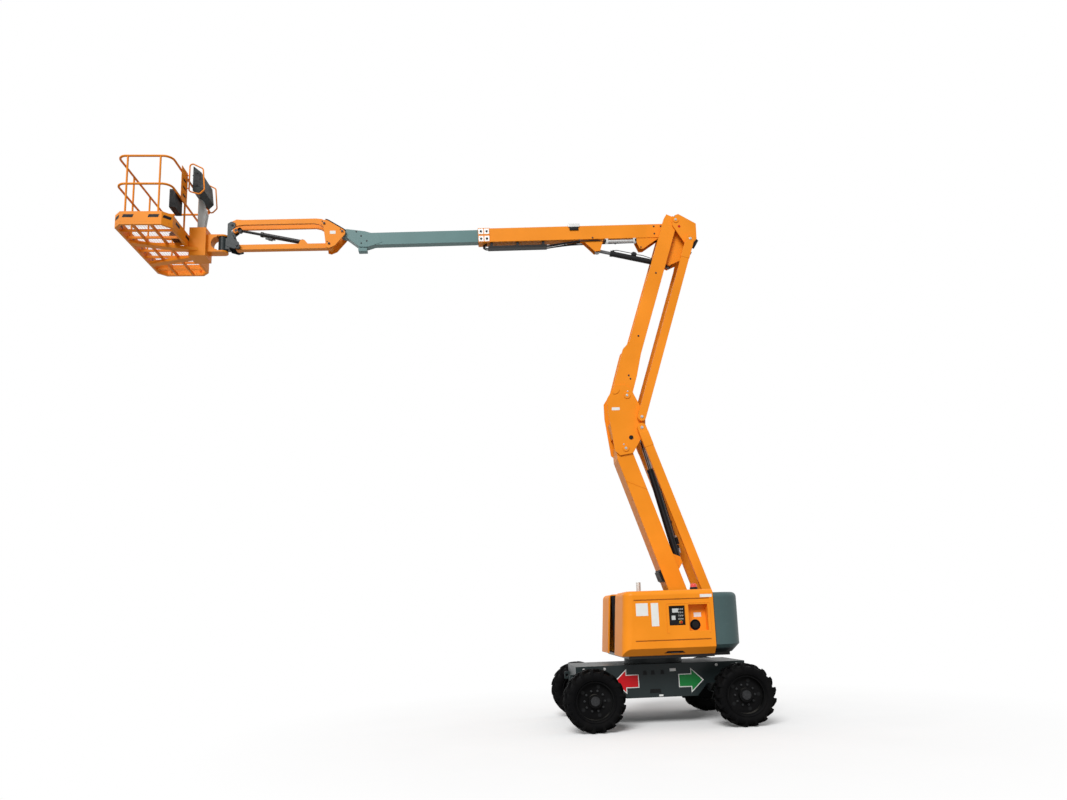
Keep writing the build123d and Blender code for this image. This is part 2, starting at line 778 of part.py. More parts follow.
def head_plate():
    """Head side plate, with a pin inwards for the upper arm and outwards for the upper link."""
    pin = head_pin
    points = [
        shifted(pin, -50, 102), shifted(pin, -head_back - 30, -70), shifted(pin, -head_back - 24, -385),
        shifted(pin, -head_back + 60, -500), shifted(pin, -120, -405), shifted(pin, 60, -95),
        shifted(pin, 52, 60),
    ]
    pieces = [slab(points, plate_inner, plate_outer)]
    pieces.append(rod_y(pin, pin_radius, plate_inner - 60, plate_outer))
    pieces.append(rod_y(pin, pin_cap, plate_outer, plate_outer + pin_cap_wall))
    pieces.append(rod_y(head_link, pin_radius, plate_inner, link_outer))
    return joined(pieces)


def head_core():
    """Rear wall between the head plates and the two cheeks that hold the boom and its lift cylinder."""
    pin = head_pin
    back = pin[0] - head_back
    wall = block(back, back + head_back_wall, -plate_inner, plate_inner, pin[1] - 385, pin[1] - 85)
    pivot, base = boom_pivot, lift_base
    points = [
        (back + 4, pin[1] - 90), shifted(pivot, 20, 80), shifted(pivot, 78, 20), shifted(base, 130, 70),
        shifted(base, 66, -20), shifted(base, 12, -46), shifted(base, -46, -18),
        shifted(pin, -head_back + 105, -605), (back + 4, pin[1] - 380),
    ]
    cheeks = both_sides(slab(points, cheek_inner, cheek_outer))
    boom_pins = both_sides(rod_y(pivot, boom_pin, cheek_inner - 40, cheek_outer))
    lift_pin = rod_y(base, cylinder_pin, -cheek_outer, cheek_outer)
    spacers = both_sides(rod_y(base, cylinder_pin + 14, cylinder_eye_half + side_gap / 2, cheek_inner + 4))
    return joined([wall] + cheeks + boom_pins + [lift_pin] + spacers)


def boom_outer():
    """Outer boom tube with pivot bosses at its root, ears for the lift cylinder and a collar at the mouth."""
    tube = block(-boom_tail, boom_length, -boom_half, boom_half, -boom_deep, boom_deep)
    room = block(-boom_tail - 1, boom_length + 1, -boom_half + boom_wall, boom_half - boom_wall,
                 -boom_deep + boom_wall, boom_deep - boom_wall)
    collar = block(boom_length - collar_length, boom_length, -boom_half - collar_wall,
                   boom_half + collar_wall,
                   -boom_deep - collar_wall, boom_deep + collar_wall)
    pads = block(boom_length - collar_length, boom_length, -boom_half, boom_half, -boom_deep, boom_deep)
    pads = pads - block(0, boom_length + 1, -inner_half - running_gap, inner_half + running_gap,
                        -inner_deep - running_gap, inner_deep + running_gap)
    bosses = both_sides(rod_y((0, 0), boom_pin + 34, cheek_inner - 44, cheek_inner - running_gap))
    eye = (lift_eye_along, -lift_eye_down)
    ear_inner = cylinder_eye_half + side_gap / 2
    ear_points = [
        (eye[0] - 110, -boom_deep + 4), (eye[0] + 250, -boom_deep + 4), (eye[0] + 50, eye[1] - 36),
        (eye[0] - 40, eye[1] - 30),
    ]
    ears = both_sides(slab(ear_points, ear_inner, ear_inner + ear_wall))
    whole = joined([tube - room, collar - pads - block(0, boom_length + 1, -inner_half - 1, inner_half + 1,
                                                       -inner_deep - 1, inner_deep + 1),
                                                       pads] + bosses + ears)
    for bore in both_sides(rod_y((0, 0), boom_pin + running_gap, cheek_inner - 46, cheek_inner)):
        whole = whole - bore
    return boom_place * whole


def hose_tray():
    """Open tray for the hoses, hung below the outer boom."""
    top = -boom_deep - tray_drop
    outside = block(tray_start, tray_end, -tray_half, tray_half, top - tray_depth, top)
    inside = block(tray_start - 1, tray_end + 1, -tray_half + tray_wall, tray_half - tray_wall,
                   top - tray_depth + tray_wall, top + 1)
    hangers = []
    for x in (tray_start + 60, (tray_start + tray_end) / 2, tray_end - 60):
        hangers += both_sides(block(x - 20, x + 20, tray_half - tray_wall, tray_half, top - tray_depth,
                                    -boom_deep))
    return boom_place * joined([outside - inside] + hangers)


def boom_lamp():
    """Work lamp on the boom's top, leaning a little forward."""
    points = [
        (lamp_along - lamp_length / 2, boom_deep), (lamp_along + lamp_length / 2, boom_deep),
        (lamp_along + lamp_length / 2 + 10, boom_deep + lamp_height),
        (lamp_along - lamp_length / 2 + 30, boom_deep + lamp_height),
    ]
    return boom_place * slab(points, 0, boom_half)


def levelling_cylinder():
    """Slave cylinder of the platform levelling, clamped below the boom."""
    z = -boom_deep - level_radius - 12
    tube = rod_x(level_start, level_end, level_radius, level_y, z)
    clamps = []
    for x in (level_start + 30, level_end - 30):
        clamps.append(block(x - 24, x + 24, level_y - 30, level_y + 30, z - level_radius - 6, -boom_deep))
    return boom_place * joined([tube] + clamps)


def boom_inner():
    """Inner boom tube and its nose, bored for the jib bracket."""
    tube = block(inner_start, inner_end, -inner_half, inner_half, -inner_deep, inner_deep)
    room = block(inner_start - 1, inner_end - 60, -inner_half + inner_wall, inner_half - inner_wall,
                 -inner_deep + inner_wall, inner_deep - inner_wall)
    tip = (nose_along, nose_up)
    cheek = [
        (inner_end - 340, inner_deep - 40), (inner_end - 120, inner_deep + 30),
        (tip[0] - 60, tip[1] + nose_reach + 6),
        (tip[0] + nose_reach - 20, tip[1] + nose_reach - 10), (tip[0] + nose_reach, tip[1]),
        (tip[0] + 20, tip[1] - nose_reach), (tip[0] - 60, tip[1] - nose_reach - 20),
        (inner_end - 30, -inner_deep - 30), (inner_end - 160, -inner_deep - 36),
        (inner_end - 400, -inner_deep + 40),
    ]
    nose = slab(cheek, -inner_half - 4, inner_half + 4)
    box = block(inner_end - 150, inner_end - 10, -inner_half + 8, inner_half - 8, -inner_deep - nose_box_drop,
                -inner_deep + 4)
    bore = rod_y(tip, jib_pin + running_gap, -inner_half - 5, inner_half + 5)
    return boom_place * (joined([tube - room, nose, box]) - bore)


def jib_bracket():
    """Levelled bracket at the boom's nose: two plates, their stiffening bar and the pins of the jib."""
    nose, high, low = nose_pin, jib_high, jib_low
    points = [
        shifted(high, -44, 62), shifted(high, 40, 56), shifted(high, 56, 0), shifted(high, 10, -66),
        shifted(low, 62, 60), shifted(low, 52, -62), shifted(low, 0, -76), shifted(low, -90, -36),
        shifted(nose, -38, -56), shifted(nose, -46, 14),
    ]
    inner, outer = jib_plate_inner, jib_plate_inner + jib_plate_wall
    pieces = both_sides(slab(points, inner, outer))
    pieces += [rod_y(nose, jib_pin, -outer - 8, outer + 8)]
    pieces += both_sides(rod_y(nose, jib_pin + 20, inner_half + 4 + side_gap / 2, outer))
    pieces += both_sides(rod_y(high, jib_pin, jib_upper_inner, outer + 8))
    pieces += [rod_y(low, jib_pin, -outer - 8, outer + 8)]
    pieces += both_sides(rod_y(low, jib_pin + 20, jib_lower_half + side_gap / 2, outer))
    return joined(pieces)


def jib_arm_upper():
    """Twin upper jib bars joined by a cross tube beside the bracket's pin."""
    half = jib_depth / 2
    outline = [
        (-jib_boss, 0), (-jib_boss + 14, jib_boss - 8), (40, jib_boss + 34), (130, half + 56),
        (jib_length - 160, half + 50), (jib_length - 60, half + 60), (jib_length + jib_boss - 10, jib_boss),
        (jib_length + jib_boss, -10), (jib_length + 20, -jib_boss), (jib_length - 60, -half + 36),
        (jib_length - 180, half - 34), (170, half - 28), (90, -4), (20, -jib_boss), (-30, -jib_boss + 8),
    ]
    pieces = both_sides(slab(outline, jib_upper_inner, jib_upper_outer))
    pieces.append(rod_y((-10, jib_boss - 2), jib_cross_radius, -jib_upper_inner - 10, jib_upper_inner + 10))
    whole = joined(pieces)
    for x in (0, jib_length):
        whole = whole - rod_y((x, 0), jib_pin + running_gap, -jib_plate_inner, jib_plate_inner)
    return along(jib_high, -jib_droop) * whole


def jib_arm_lower():
    """Single lower jib bar with ears for the jib cylinder."""
    half = jib_depth / 2
    bar = block(0, jib_length, -jib_lower_half, jib_lower_half, -half, half)
    ends = [rod_y((x, 0), jib_boss, -jib_lower_half, jib_lower_half) for x in (0, jib_length)]
    eye = (jib_cylinder_along, jib_cylinder_up)
    ear_inner = jib_eye_half + running_gap
    ear_points = [(eye[0] - 90, half - 4), (eye[0] + 60, half - 4), (eye[0] + 30, eye[1] + 26),
                  (eye[0] - 30, eye[1] + 26)]
    ears = both_sides(slab(ear_points, ear_inner, jib_lower_half))
    pin = rod_y(eye, jib_pin - 6, -jib_lower_half, jib_lower_half)
    whole = joined([bar] + ends + ears + [pin])
    for x in (0, jib_length):
        whole = whole - rod_y((x, 0), jib_pin + running_gap, -jib_lower_half - 1, jib_lower_half + 1)
    return along(jib_low, -jib_droop) * whole


def jib_head():
    """Levelled casting at the jib's end, with the rotator that turns the platform."""
    high, low = jib_high_end, jib_low_end
    inner, outer = jib_plate_inner, jib_plate_inner + jib_plate_wall
    web_x = high[0] + 52
    points = [
        shifted(high, -46, 34), shifted(high, 20, 56), (web_x + 20, high[1] + 20), (web_x + 20, low[1] - 20),
        shifted(low, 40, -54), shifted(low, -44, -34), shifted(low, -30, 50), shifted(low, 46, 110),
        shifted(high, 14, -90), shifted(high, -44, -40),
    ]
    pieces = both_sides(slab(points, inner, outer))
    web = block(web_x, web_x + 20, -outer, outer, low[1] + 40, high[1] - 60)
    pieces.append(web)
    pieces += both_sides(rod_y(high, jib_pin, jib_upper_inner, outer + 8))
    pieces += [rod_y(low, jib_pin, -outer - 8, outer + 8)]
    pieces += both_sides(rod_y(low, jib_pin + 16, jib_lower_half + side_gap / 2, outer))
    base = rotator_z - rotator_height / 2 + 5
    body = Pos(rotator_x, 0, rotator_z) * Cylinder(rotator_radius, rotator_height)
    neck = block(web_x, rotator_x, -rotator_radius + 20, rotator_radius - 20, base + 20,
                 base + rotator_height - 30)
    bore = Pos(rotator_x, 0, rotator_z) * Cylinder(jib_pin + running_gap, rotator_height + 2)
    return joined(pieces + [body, neck]) - bore


def platform_bracket():
    """Yoke over and under the rotator, the column behind the platform and two beams under its floor."""
    reach = rotator_height / 2 + side_gap / 2 + yoke_plate
    plate_x = rotator_x + rotator_radius + side_gap
    yoke = block(rotator_x, column_x + 10, -yoke_half, yoke_half, rotator_z - reach, rotator_z + reach)
    gap = block(rotator_x - 1, plate_x, -yoke_half, yoke_half,
                rotator_z - reach + yoke_plate, rotator_z + reach - yoke_plate)
    arch = rod_y((plate_x - 20, rotator_z), arch_radius, -yoke_half, yoke_half)
    pieces = [yoke - gap - arch]
    for low in (rotator_z + reach - yoke_plate, rotator_z - reach):
        pieces.append(Pos(rotator_x, 0, low + yoke_plate / 2) * Cylinder(yoke_half, yoke_plate))
    pieces.append(Pos(rotator_x, 0, rotator_z) * Cylinder(jib_pin, 2 * reach - 4))
    pieces.append(block(column_x, column_x + column_depth, -column_half, column_half, column_low, column_top))
    far = platform_x + platform_length / 2 - 60
    for side in (-1, 1):
        corners = [
            (column_x + 40, side * 20), (column_x + 40, side * (20 + beam_width)),
            (far, side * beam_spread), (far, side * (beam_spread - beam_width)),
        ]
        outline = Plane.XY.offset(floor_bottom - beam_depth) * Polygon(*corners, align=None)
        pieces.append(extrude(outline, amount=beam_depth, dir=(0, 0, 1)))
    return joined(pieces)


def platform_ring(inset):
    """Corners of the platform's outline in plan, drawn in by this much."""
    half_x = platform_length / 2 - inset
    half_y = platform_width / 2 - inset
    cut = platform_corner - 0.586 * inset
    ring = []
    for x, y in ((1, 1), (-1, 1), (-1, -1), (1, -1)):
        first = (platform_x + x * half_x, y * (half_y - cut))
        second = (platform_x + x * (half_x - cut), y * half_y)
        ring += [first, second] if x == y else [second, first]
    return ring


def ring_slab(inset, wall, low, high):
    """A wall that follows the platform's outline."""
    outer = Polygon(*platform_ring(inset), align=None)
    inner = Polygon(*platform_ring(inset + wall), align=None)
    return extrude(Plane.XY.offset(low) * (outer - inner), amount=high - low, dir=(0, 0, 1))


def platform_floor():
    """Floor frame and the grid of bars that carries the mesh."""
    pieces = [ring_slab(0, floor_frame, floor_bottom, floor_top)]
    half_x = platform_length / 2 - floor_frame / 2
    half_y = platform_width / 2 - floor_frame / 2
    for i in range(floor_bars_across):
        x = platform_x - half_x + 2 * half_x * (i + 1) / (floor_bars_across + 1)
        pieces.append(block(x - floor_bar, x + floor_bar, -half_y, half_y, floor_bottom, floor_top))
    for i in range(floor_bars_along):
        y = -half_y + 2 * half_y * (i + 1) / (floor_bars_along + 1)
        pieces.append(block(platform_x - half_x, platform_x + half_x, y - floor_bar / 2, y + floor_bar / 2,
                            floor_bottom + 5, floor_top))
    return joined(pieces)


def toe_boards():
    """Kick plates round the floor, slotted for lashing."""
    boards = ring_slab(0, toe_wall, floor_top, floor_top + toe_height)
    middle = floor_top + toe_height * 0.55
    half_x, half_y = platform_length / 2, platform_width / 2
    for x in (-0.22, 0.22):
        for side in (-1, 1):
            slot = Box(toe_slot_length, 4 * toe_wall, toe_slot_height)
            boards = boards - Pos(platform_x + x * platform_length, side * half_y, middle) * slot
    for y in (-0.33, -0.11, 0.11, 0.33):
        for end in (-1, 1):
            slot = Box(4 * toe_wall, toe_slot_length, toe_slot_height)
            boards = boards - Pos(platform_x + end * half_x, y * platform_width, middle) * slot
    return boards


def tube(start, end, radius):
    """A round tube between two points of the machine."""
    reach = Vector(*end) - Vector(*start)
    middle = (Vector(*end) + Vector(*start)) * 0.5
    return Plane(origin=middle, z_dir=reach) * Cylinder(radius, reach.length)


def rail_ring(height, radius):
    """One bent rail round the platform, at this height over its floor."""
    half_x = platform_length / 2 - rail_inset
    half_y = platform_width / 2 - rail_inset
    z = floor_top + height - rail_radius
    corners = [(platform_x + x * half_x, y * half_y, z) for x, y in ((1, 1), (-1, 1), (-1, -1), (1, -1))]
    path = FilletPolyline(*corners, radius=rail_bend, close=True)
    section = Plane(origin=path @ 0, z_dir=path % 0) * Circle(radius)
    return sweep(section, path=path)


def platform_posts():
    """Posts at the ends of the short sides and on the long sides, notched for the rails."""
    half_x = platform_length / 2 - rail_inset
    half_y = platform_width / 2 - rail_inset
    places = []
    for side in (-1, 1):
        for end in (-1, 1):
            places.append((end * (half_x - rail_bend - 2 * post_radius), side * half_y))
            places.append((end * half_x, side * post_spread))
    notches = [rail_ring(height, rail_radius + running_gap) for height in (top_rail, mid_rail)]
    solids = []
    for x, y in places:
        post = tube((platform_x + x, y, floor_top),
                    (platform_x + x, y, floor_top + top_rail - rail_radius), post_radius)
        solids += (post - notches[0] - notches[1]).solids()
    return Compound(solids)


def console_outline(margin):
    """The console's end face in side view, grown by this much."""
    front = platform_rear - console_front + margin
    rear = platform_rear - console_rear - margin
    low = floor_top + console_low - margin
    high = floor_top + console_top + margin
    return [(front, low + 50), (front, high), (rear + 30, high - 110), (rear, low + 80), (rear + 75, low)]


def control_console():
    """Platform controls: a long box behind the top rail, seen from its end as a bevelled block."""
    return slab(console_outline(0), -console_half, console_half)


def console_stand():
    """Plate that rises from the column to the underside of the console."""
    front = platform_rear - console_front - 20
    rear = platform_rear - console_rear
    low = floor_top + console_low
    points = [
        (front, column_top), (rear + 40, column_top), (rear, low - 230), (rear + 75, low),
        (front, low + 50 - 4),
    ]
    plate = slab(points, -stand_half, stand_half)
    return plate - slab(console_outline(running_gap), -stand_half - 1, stand_half + 1)


def console_guard():
    """Bent tube round the console's left end, on a plate that hangs on the platform's rear rails."""
    y = console_half + guard_margin
    corners = [(x, y, z) for x, z in console_outline(guard_margin)]
    path = FilletPolyline(*corners, radius=guard_bend, close=True)
    hoop = sweep(Plane(origin=path @ 0, z_dir=path % 0) * Circle(guard_radius), path=path)
    back = platform_rear + rail_inset - rail_radius - running_gap
    plate = block(back - guard_panel_wall, back, guard_panel_inner, guard_panel_outer,
                  floor_top + guard_panel_low, floor_top + guard_panel_high)
    bars = []
    for z in (console_low + 60, console_top - 190):
        bars.append(rod_x(platform_rear - console_front + guard_margin, back - 1, guard_radius - 2, y,
                          floor_top + z))
    return joined([plate, hoop] + bars)


def document_box():
    """Box for papers, hung inside the middle rail."""
    back = platform_rear + rail_inset + rail_radius + running_gap
    top = floor_top + mid_rail + 40
    return block(back, back + document_depth, document_inner, document_outer, top - document_height, top)


def foot_switch():
    """Hooded pedal box on the platform's floor."""
    x = platform_rear + pedal_back
    low = floor_top + running_gap
    points = [
        (x - pedal_length / 2, low), (x + pedal_length / 2, low),
        (x + pedal_length / 2, low + pedal_height * 0.5),
        (x, low + pedal_height), (x - pedal_length / 2, low + pedal_height),
    ]
    return slab(points, pedal_y - pedal_width / 2, pedal_y + pedal_width / 2)


def cylinder_parts(start, end, barrel_radius, rod_radius, share, retract, eye_radius, eye_half, pin):
    """Barrel and rod between two pins: the barrel's eye is bored, the rod's eye is open over its pin."""
    length = hypot(end[0] - start[0], end[1] - start[1])
    angle = degrees(atan2(end[1] - start[1], end[0] - start[0]))
    barrel_end = length * share
    barrel = rod_x(eye_radius * 0.6, barrel_end, barrel_radius)
    gland = rod_x(barrel_end - 40, barrel_end, barrel_radius + 6)
    eye = rod_y((0, 0), eye_radius, -eye_half, eye_half)
    bore = rod_y((0, 0), pin + running_gap, -eye_half - 1, eye_half + 1)
    room = rod_x(barrel_radius + eye_radius, barrel_end + 1, rod_radius + running_gap)
    barrel = joined([barrel, gland, eye]) - bore - room
    rod = rod_x(barrel_radius + eye_radius + retract + 10, length - eye_radius * 0.6, rod_radius)
    rod_eye = rod_y((length, 0), eye_radius, -eye_half, eye_half)
    rod_bore = rod_y((length, 0), pin + running_gap, -eye_half - 1, eye_half + 1)
    place = along(start, angle)
    return place * barrel, place * (rod + rod_eye - rod_bore)


arm_cylinder_foot = polar(polar(arm_foot, arm_cylinder_along, lower_arm_angle),
                          arm_cylinder_off, lower_arm_angle + 90)
arm_barrel, arm_rod = cylinder_parts(
    arm_cylinder_foot, knee_link, arm_barrel_radius, arm_rod_radius, arm_barrel_share, arm_retract,
    arm_eye_radius, cylinder_eye_half, cylinder_pin)
lift_barrel, lift_rod = cylinder_parts(
    lift_base, lift_eye, lift_barrel_radius, lift_rod_radius, lift_barrel_share, lift_retract,
    lift_eye_radius, cylinder_eye_half, cylinder_pin)
jib_barrel, jib_rod = cylinder_parts(
    jib_cylinder_foot, jib_cylinder_eye, jib_barrel_radius, jib_rod_radius, jib_barrel_share, jib_retract,
    jib_eye_radius, jib_eye_half, jib_pin - 6)

front_x = wheelbase / 2
parts = {
    "chassis_frame": chassis_frame(),
    "slew_ring": slew_ring(),
    "front_axle": front_axle(),
    "rear_axle": rear_axle(),
    "knuckle_left": knuckle(1),
    "knuckle_right": knuckle(-1),
    "turret_frame": turret_frame(),
    "turret_uprights": Compound(both_sides(turret_upright())),
    "hood_left": hood(1),
    "hood_right": hood(-1),
    "counterweight": counterweight(),
    "engine_block": engine_block(),
    "fuel_tank": fuel_tank(),
    "ground_controls": ground_controls(),
    "beacon": beacon(),
    "exhaust": exhaust(),
    "lower_arm": lower_arm(),
    "lower_links": Compound(both_sides(link_bar(link_foot, lower_arm_angle, lower_arm_length, link_depth))),
    "knee_plates": Compound(both_sides(knee_plate())),
    "knee_tie": knee_tie(),
    "upper_arms": Compound(both_sides(upper_arm())),
    "upper_links": Compound(both_sides(
        link_bar(knee_upper_link, upper_arm_way, upper_arm_length, upper_link_depth))),
    "head_plates": Compound(both_sides(head_plate())),
    "head_core": head_core(),
    "boom_outer": boom_outer(),
    "hose_tray": hose_tray(),
    "levelling_cylinder": levelling_cylinder(),
    "boom_lamp": boom_lamp(),
    "boom_inner": boom_inner(),
    "jib_bracket": jib_bracket(),
    "jib_arm_upper": jib_arm_upper(),
    "jib_arm_lower": jib_arm_lower(),
    "jib_head": jib_head(),
    "platform_bracket": platform_bracket(),
    "platform_floor": platform_floor(),
    "toe_boards": toe_boards(),
    "platform_top_rail": rail_ring(top_rail, rail_radius),
    "platform_mid_rail": rail_ring(mid_rail, rail_radius),
    "platform_posts": platform_posts(),
    "control_console": control_console(),
    "console_stand": console_stand(),
    "console_guards": Compound(both_sides(console_guard())),
    "document_box": document_box(),
    "foot_switch": foot_switch(),
    "arm_cylinder_barrel": arm_barrel,
    "arm_cylinder_rod": arm_rod,
    "lift_cylinder_barrel": lift_barrel,
    "lift_cylinder_rod": lift_rod,
    "jib_cylinder_barrel": jib_barrel,
    "jib_cylinder_rod": jib_rod,
}
tyre_shape = tyre()
for end, x in (("front", front_x), ("rear", -front_x)):
    for name, side in (("left", 1), ("right", -1)):
        parts[f"tyre_{end}_{name}"] = Pos(x, side * wheel_y, wheel_z) * tyre_shape
        parts[f"rim_{end}_{name}"] = rim(side, x)

os.makedirs("parts", exist_ok=True)
for node, shape in parts.items():
    export_step(shape, f"parts/{node}.step")
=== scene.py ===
import json
from math import cos, pi, radians, sin

import bmesh
import bpy
from mathutils import Matrix, Vector


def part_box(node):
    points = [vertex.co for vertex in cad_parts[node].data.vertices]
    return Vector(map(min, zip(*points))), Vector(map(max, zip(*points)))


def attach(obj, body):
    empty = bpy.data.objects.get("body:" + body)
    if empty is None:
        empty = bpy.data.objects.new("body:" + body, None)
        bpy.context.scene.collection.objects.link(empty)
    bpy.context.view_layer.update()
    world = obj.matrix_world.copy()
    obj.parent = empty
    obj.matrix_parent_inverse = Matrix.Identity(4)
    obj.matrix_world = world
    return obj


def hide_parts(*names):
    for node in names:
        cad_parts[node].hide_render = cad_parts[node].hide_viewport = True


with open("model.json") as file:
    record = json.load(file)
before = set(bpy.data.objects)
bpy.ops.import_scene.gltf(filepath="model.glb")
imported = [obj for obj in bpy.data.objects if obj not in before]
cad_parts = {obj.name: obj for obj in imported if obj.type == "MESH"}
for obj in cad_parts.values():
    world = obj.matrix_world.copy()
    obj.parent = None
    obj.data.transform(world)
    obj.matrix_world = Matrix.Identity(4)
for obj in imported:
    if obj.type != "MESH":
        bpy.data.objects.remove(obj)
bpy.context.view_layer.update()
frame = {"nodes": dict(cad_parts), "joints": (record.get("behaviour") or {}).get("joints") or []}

# Pins of the arms, boom and jib, from the frame's joints
PIN = {joint["name"]: Vector(joint["pos_m"]) for joint in frame["joints"] if "pos_m" in joint}
WAY = {joint["name"]: Vector(joint["axis"]) for joint in frame["joints"]}

# Paint and finish colours, linear
ORANGE = (0.930, 0.288, 0.010, 1)
GREY_GREEN = (0.125, 0.235, 0.232, 1)
CHASSIS_GREY = (0.014, 0.022, 0.023, 1)
SATIN_BLACK = (0.007, 0.007, 0.008, 1)
RIM_BLACK = (0.0028, 0.0028, 0.0030, 1)
# Dark orange painted shade for the hood grooves
GROOVE_SHADE = (0.36, 0.105, 0.006, 1)
RUBBER_BLACK = (0.0030, 0.0030, 0.0033, 1)
PALE_GREY = (0.40, 0.43, 0.42, 1)
WORN_PAINT = (0.09, 0.075, 0.06, 1)
WHITE_FILM = (0.82, 0.82, 0.80, 1)
ARROW_RED = (0.62, 0.006, 0.012, 1)
ARROW_GREEN = (0.010, 0.215, 0.045, 1)

# Reflection of paint, plastic and rubber
SHEEN = 0.13
RUBBER_SHEEN = 0.05

# Side faces, out from the middle plane
KNEE_FACE = 0.208
LINK_FACE = 0.270
FRAME_FACE = 0.540
HOOD_FACE = 1.080
BOOM_FACE = 0.080
COLLAR_FACE = 0.086
ARM_FACE = 0.184
BRACKET_FACE = 0.122

# Thickness of a film and of an insert that lie on a face
FILM = 0.0012
INSERT = 0.002

# Height of the beacon's black foot
BEACON_FOOT = 0.046


class Value:
    """A socket of a node, so that sums on it are written as plain expressions."""

    def __init__(self, graph, socket):
        self.graph = graph
        self.socket = socket

    def sum(self, operation, first, second):
        return self.graph.node("ShaderNodeMath", {"operation": operation}, {0: first, 1: second})

    def __add__(self, other):
        return self.sum("ADD", self, other)

    def __radd__(self, other):
        return self.sum("ADD", other, self)

    def __sub__(self, other):
        return self.sum("SUBTRACT", self, other)

    def __rsub__(self, other):
        return self.sum("SUBTRACT", other, self)

    def __mul__(self, other):
        return self.sum("MULTIPLY", self, other)

    def __rmul__(self, other):
        return self.sum("MULTIPLY", other, self)

    def __gt__(self, other):
        return self.sum("GREATER_THAN", self, other)

    def __lt__(self, other):
        return self.sum("LESS_THAN", self, other)


class Graph:
    """The nodes of a material or of the world."""

    def __init__(self, owner):
        owner.use_nodes = True
        self.tree = owner.node_tree
        self.tree.nodes.clear()

    def node(self, kind, settings, inputs, output=0):
        """Adds a node, with its settings first and then its sockets' values or links, and gives an output."""
        made = self.tree.nodes.new(kind)
        for name, value in settings.items():
            setattr(made, name, value)
        for key, value in inputs.items():
            if isinstance(value, Value):
                self.tree.links.new(value.socket, made.inputs[key])
            else:
                made.inputs[key].default_value = value
        return Value(self, made.outputs[output]) if made.outputs else None

    def seen_directly(self):
        """1 for rays from the camera and for mirror and clear-glass rays, 0 for the rest."""
        camera = self.node("ShaderNodeLightPath", {}, {}, "Is Camera Ray")
        glossy = self.node("ShaderNodeLightPath", {}, {}, "Is Glossy Ray")
        through = self.node("ShaderNodeLightPath", {}, {}, "Is Transmission Ray")
        return camera + glossy + through


class Finish(Graph):
    """One material, with the patterns that the finishes share."""

    def __init__(self, name):
        self.material = bpy.data.materials.new(name)
        super().__init__(self.material)
        self.place = self.node("ShaderNodeTexCoord", {}, {}, "Object")

    def noise(self, scale, detail=3.0, rough=0.5):
        return self.node("ShaderNodeTexNoise", {}, {"Vector": self.place, "Scale": scale, "Detail": detail,
                                                    "Roughness": rough})

    def mix(self, factor, first, second):
        return self.node("ShaderNodeMix", {"data_type": "RGBA"}, {0: factor, 6: first, 7: second}, 2)

    def ramp(self, value, low, high):
        return self.node("ShaderNodeMapRange", {}, {0: value, 1: low, 2: high})

    def height(self):
        return self.node("ShaderNodeSeparateXYZ", {}, {0: self.place}, "Z")

    def facing_up(self):
        geometry = self.node("ShaderNodeNewGeometry", {}, {}, "Normal")
        return self.node("ShaderNodeSeparateXYZ", {}, {0: geometry}, "Z")

    def rounded(self, radius):
        return self.node("ShaderNodeBevel", {"samples": 4}, {"Radius": radius})

    def edge(self, radius):
        """How sharply the surface turns here: 0 on a flat, more at an edge."""
        flat = self.node("ShaderNodeNewGeometry", {}, {}, "Normal")
        turned = self.node("ShaderNodeVectorMath", {"operation": "DOT_PRODUCT"},
                           {0: flat, 1: self.rounded(radius)}, "Value")
        return 1 - turned

    def bump(self, height, strength, distance, normal=None):
        inputs = {"Height": height, "Strength": strength, "Distance": distance}
        if normal:
            inputs["Normal"] = normal
        return self.node("ShaderNodeBump", {}, inputs)

    def surface(self, inputs):
        shader = self.node("ShaderNodeBsdfPrincipled", {}, inputs)
        self.node("ShaderNodeOutputMaterial", {}, {"Surface": shader})
        return self.material


def machine_paint(name, colour, worn, gloss=0.42, coat=0.06, sheen=SHEEN):
    """Sprayed enamel: slow fading, dust on what faces up, chipped edges and a faint orange peel."""
    finish = Finish(name)
    fade = finish.ramp(finish.noise(1.3, 4.0), 0.3, 0.7)
    paler = tuple(min(1.0, part * 1.05 + 0.006) for part in colour[:3]) + (1,)
    deeper = tuple(part * 0.90 for part in colour[:3]) + (1,)
    body = finish.mix(fade, deeper, paler)
    dust = finish.ramp(finish.facing_up(), 0.55, 1.0) * finish.ramp(finish.noise(7.0, 6.0), 0.35, 0.75)
    body = finish.mix(dust * 0.16, body, (0.42, 0.39, 0.34, 1))
    streak = finish.ramp(finish.noise(38.0, 8.0, 0.62), 0.62, 0.78)
    body = finish.mix(streak * 0.10, body, (0.10, 0.085, 0.07, 1))
    patches = finish.ramp(finish.noise(24.0, 7.0, 0.6), 0.50, 0.62)
    chipped = finish.ramp(finish.edge(0.006), 0.05, 0.30) * patches
    body = finish.mix(chipped * 0.75, body, worn)
    peel = finish.noise(320.0, 2.0)
    rough = gloss + 0.10 * fade + 0.20 * dust + 0.15 * streak
    return finish.surface({
        "Base Color": body, "Roughness": rough, "Coat Weight": coat, "Coat Roughness": 0.22,
        "Specular IOR Level": sheen,
        "Normal": finish.bump(peel, 0.10, 0.0006, finish.rounded(0.004)),
    })


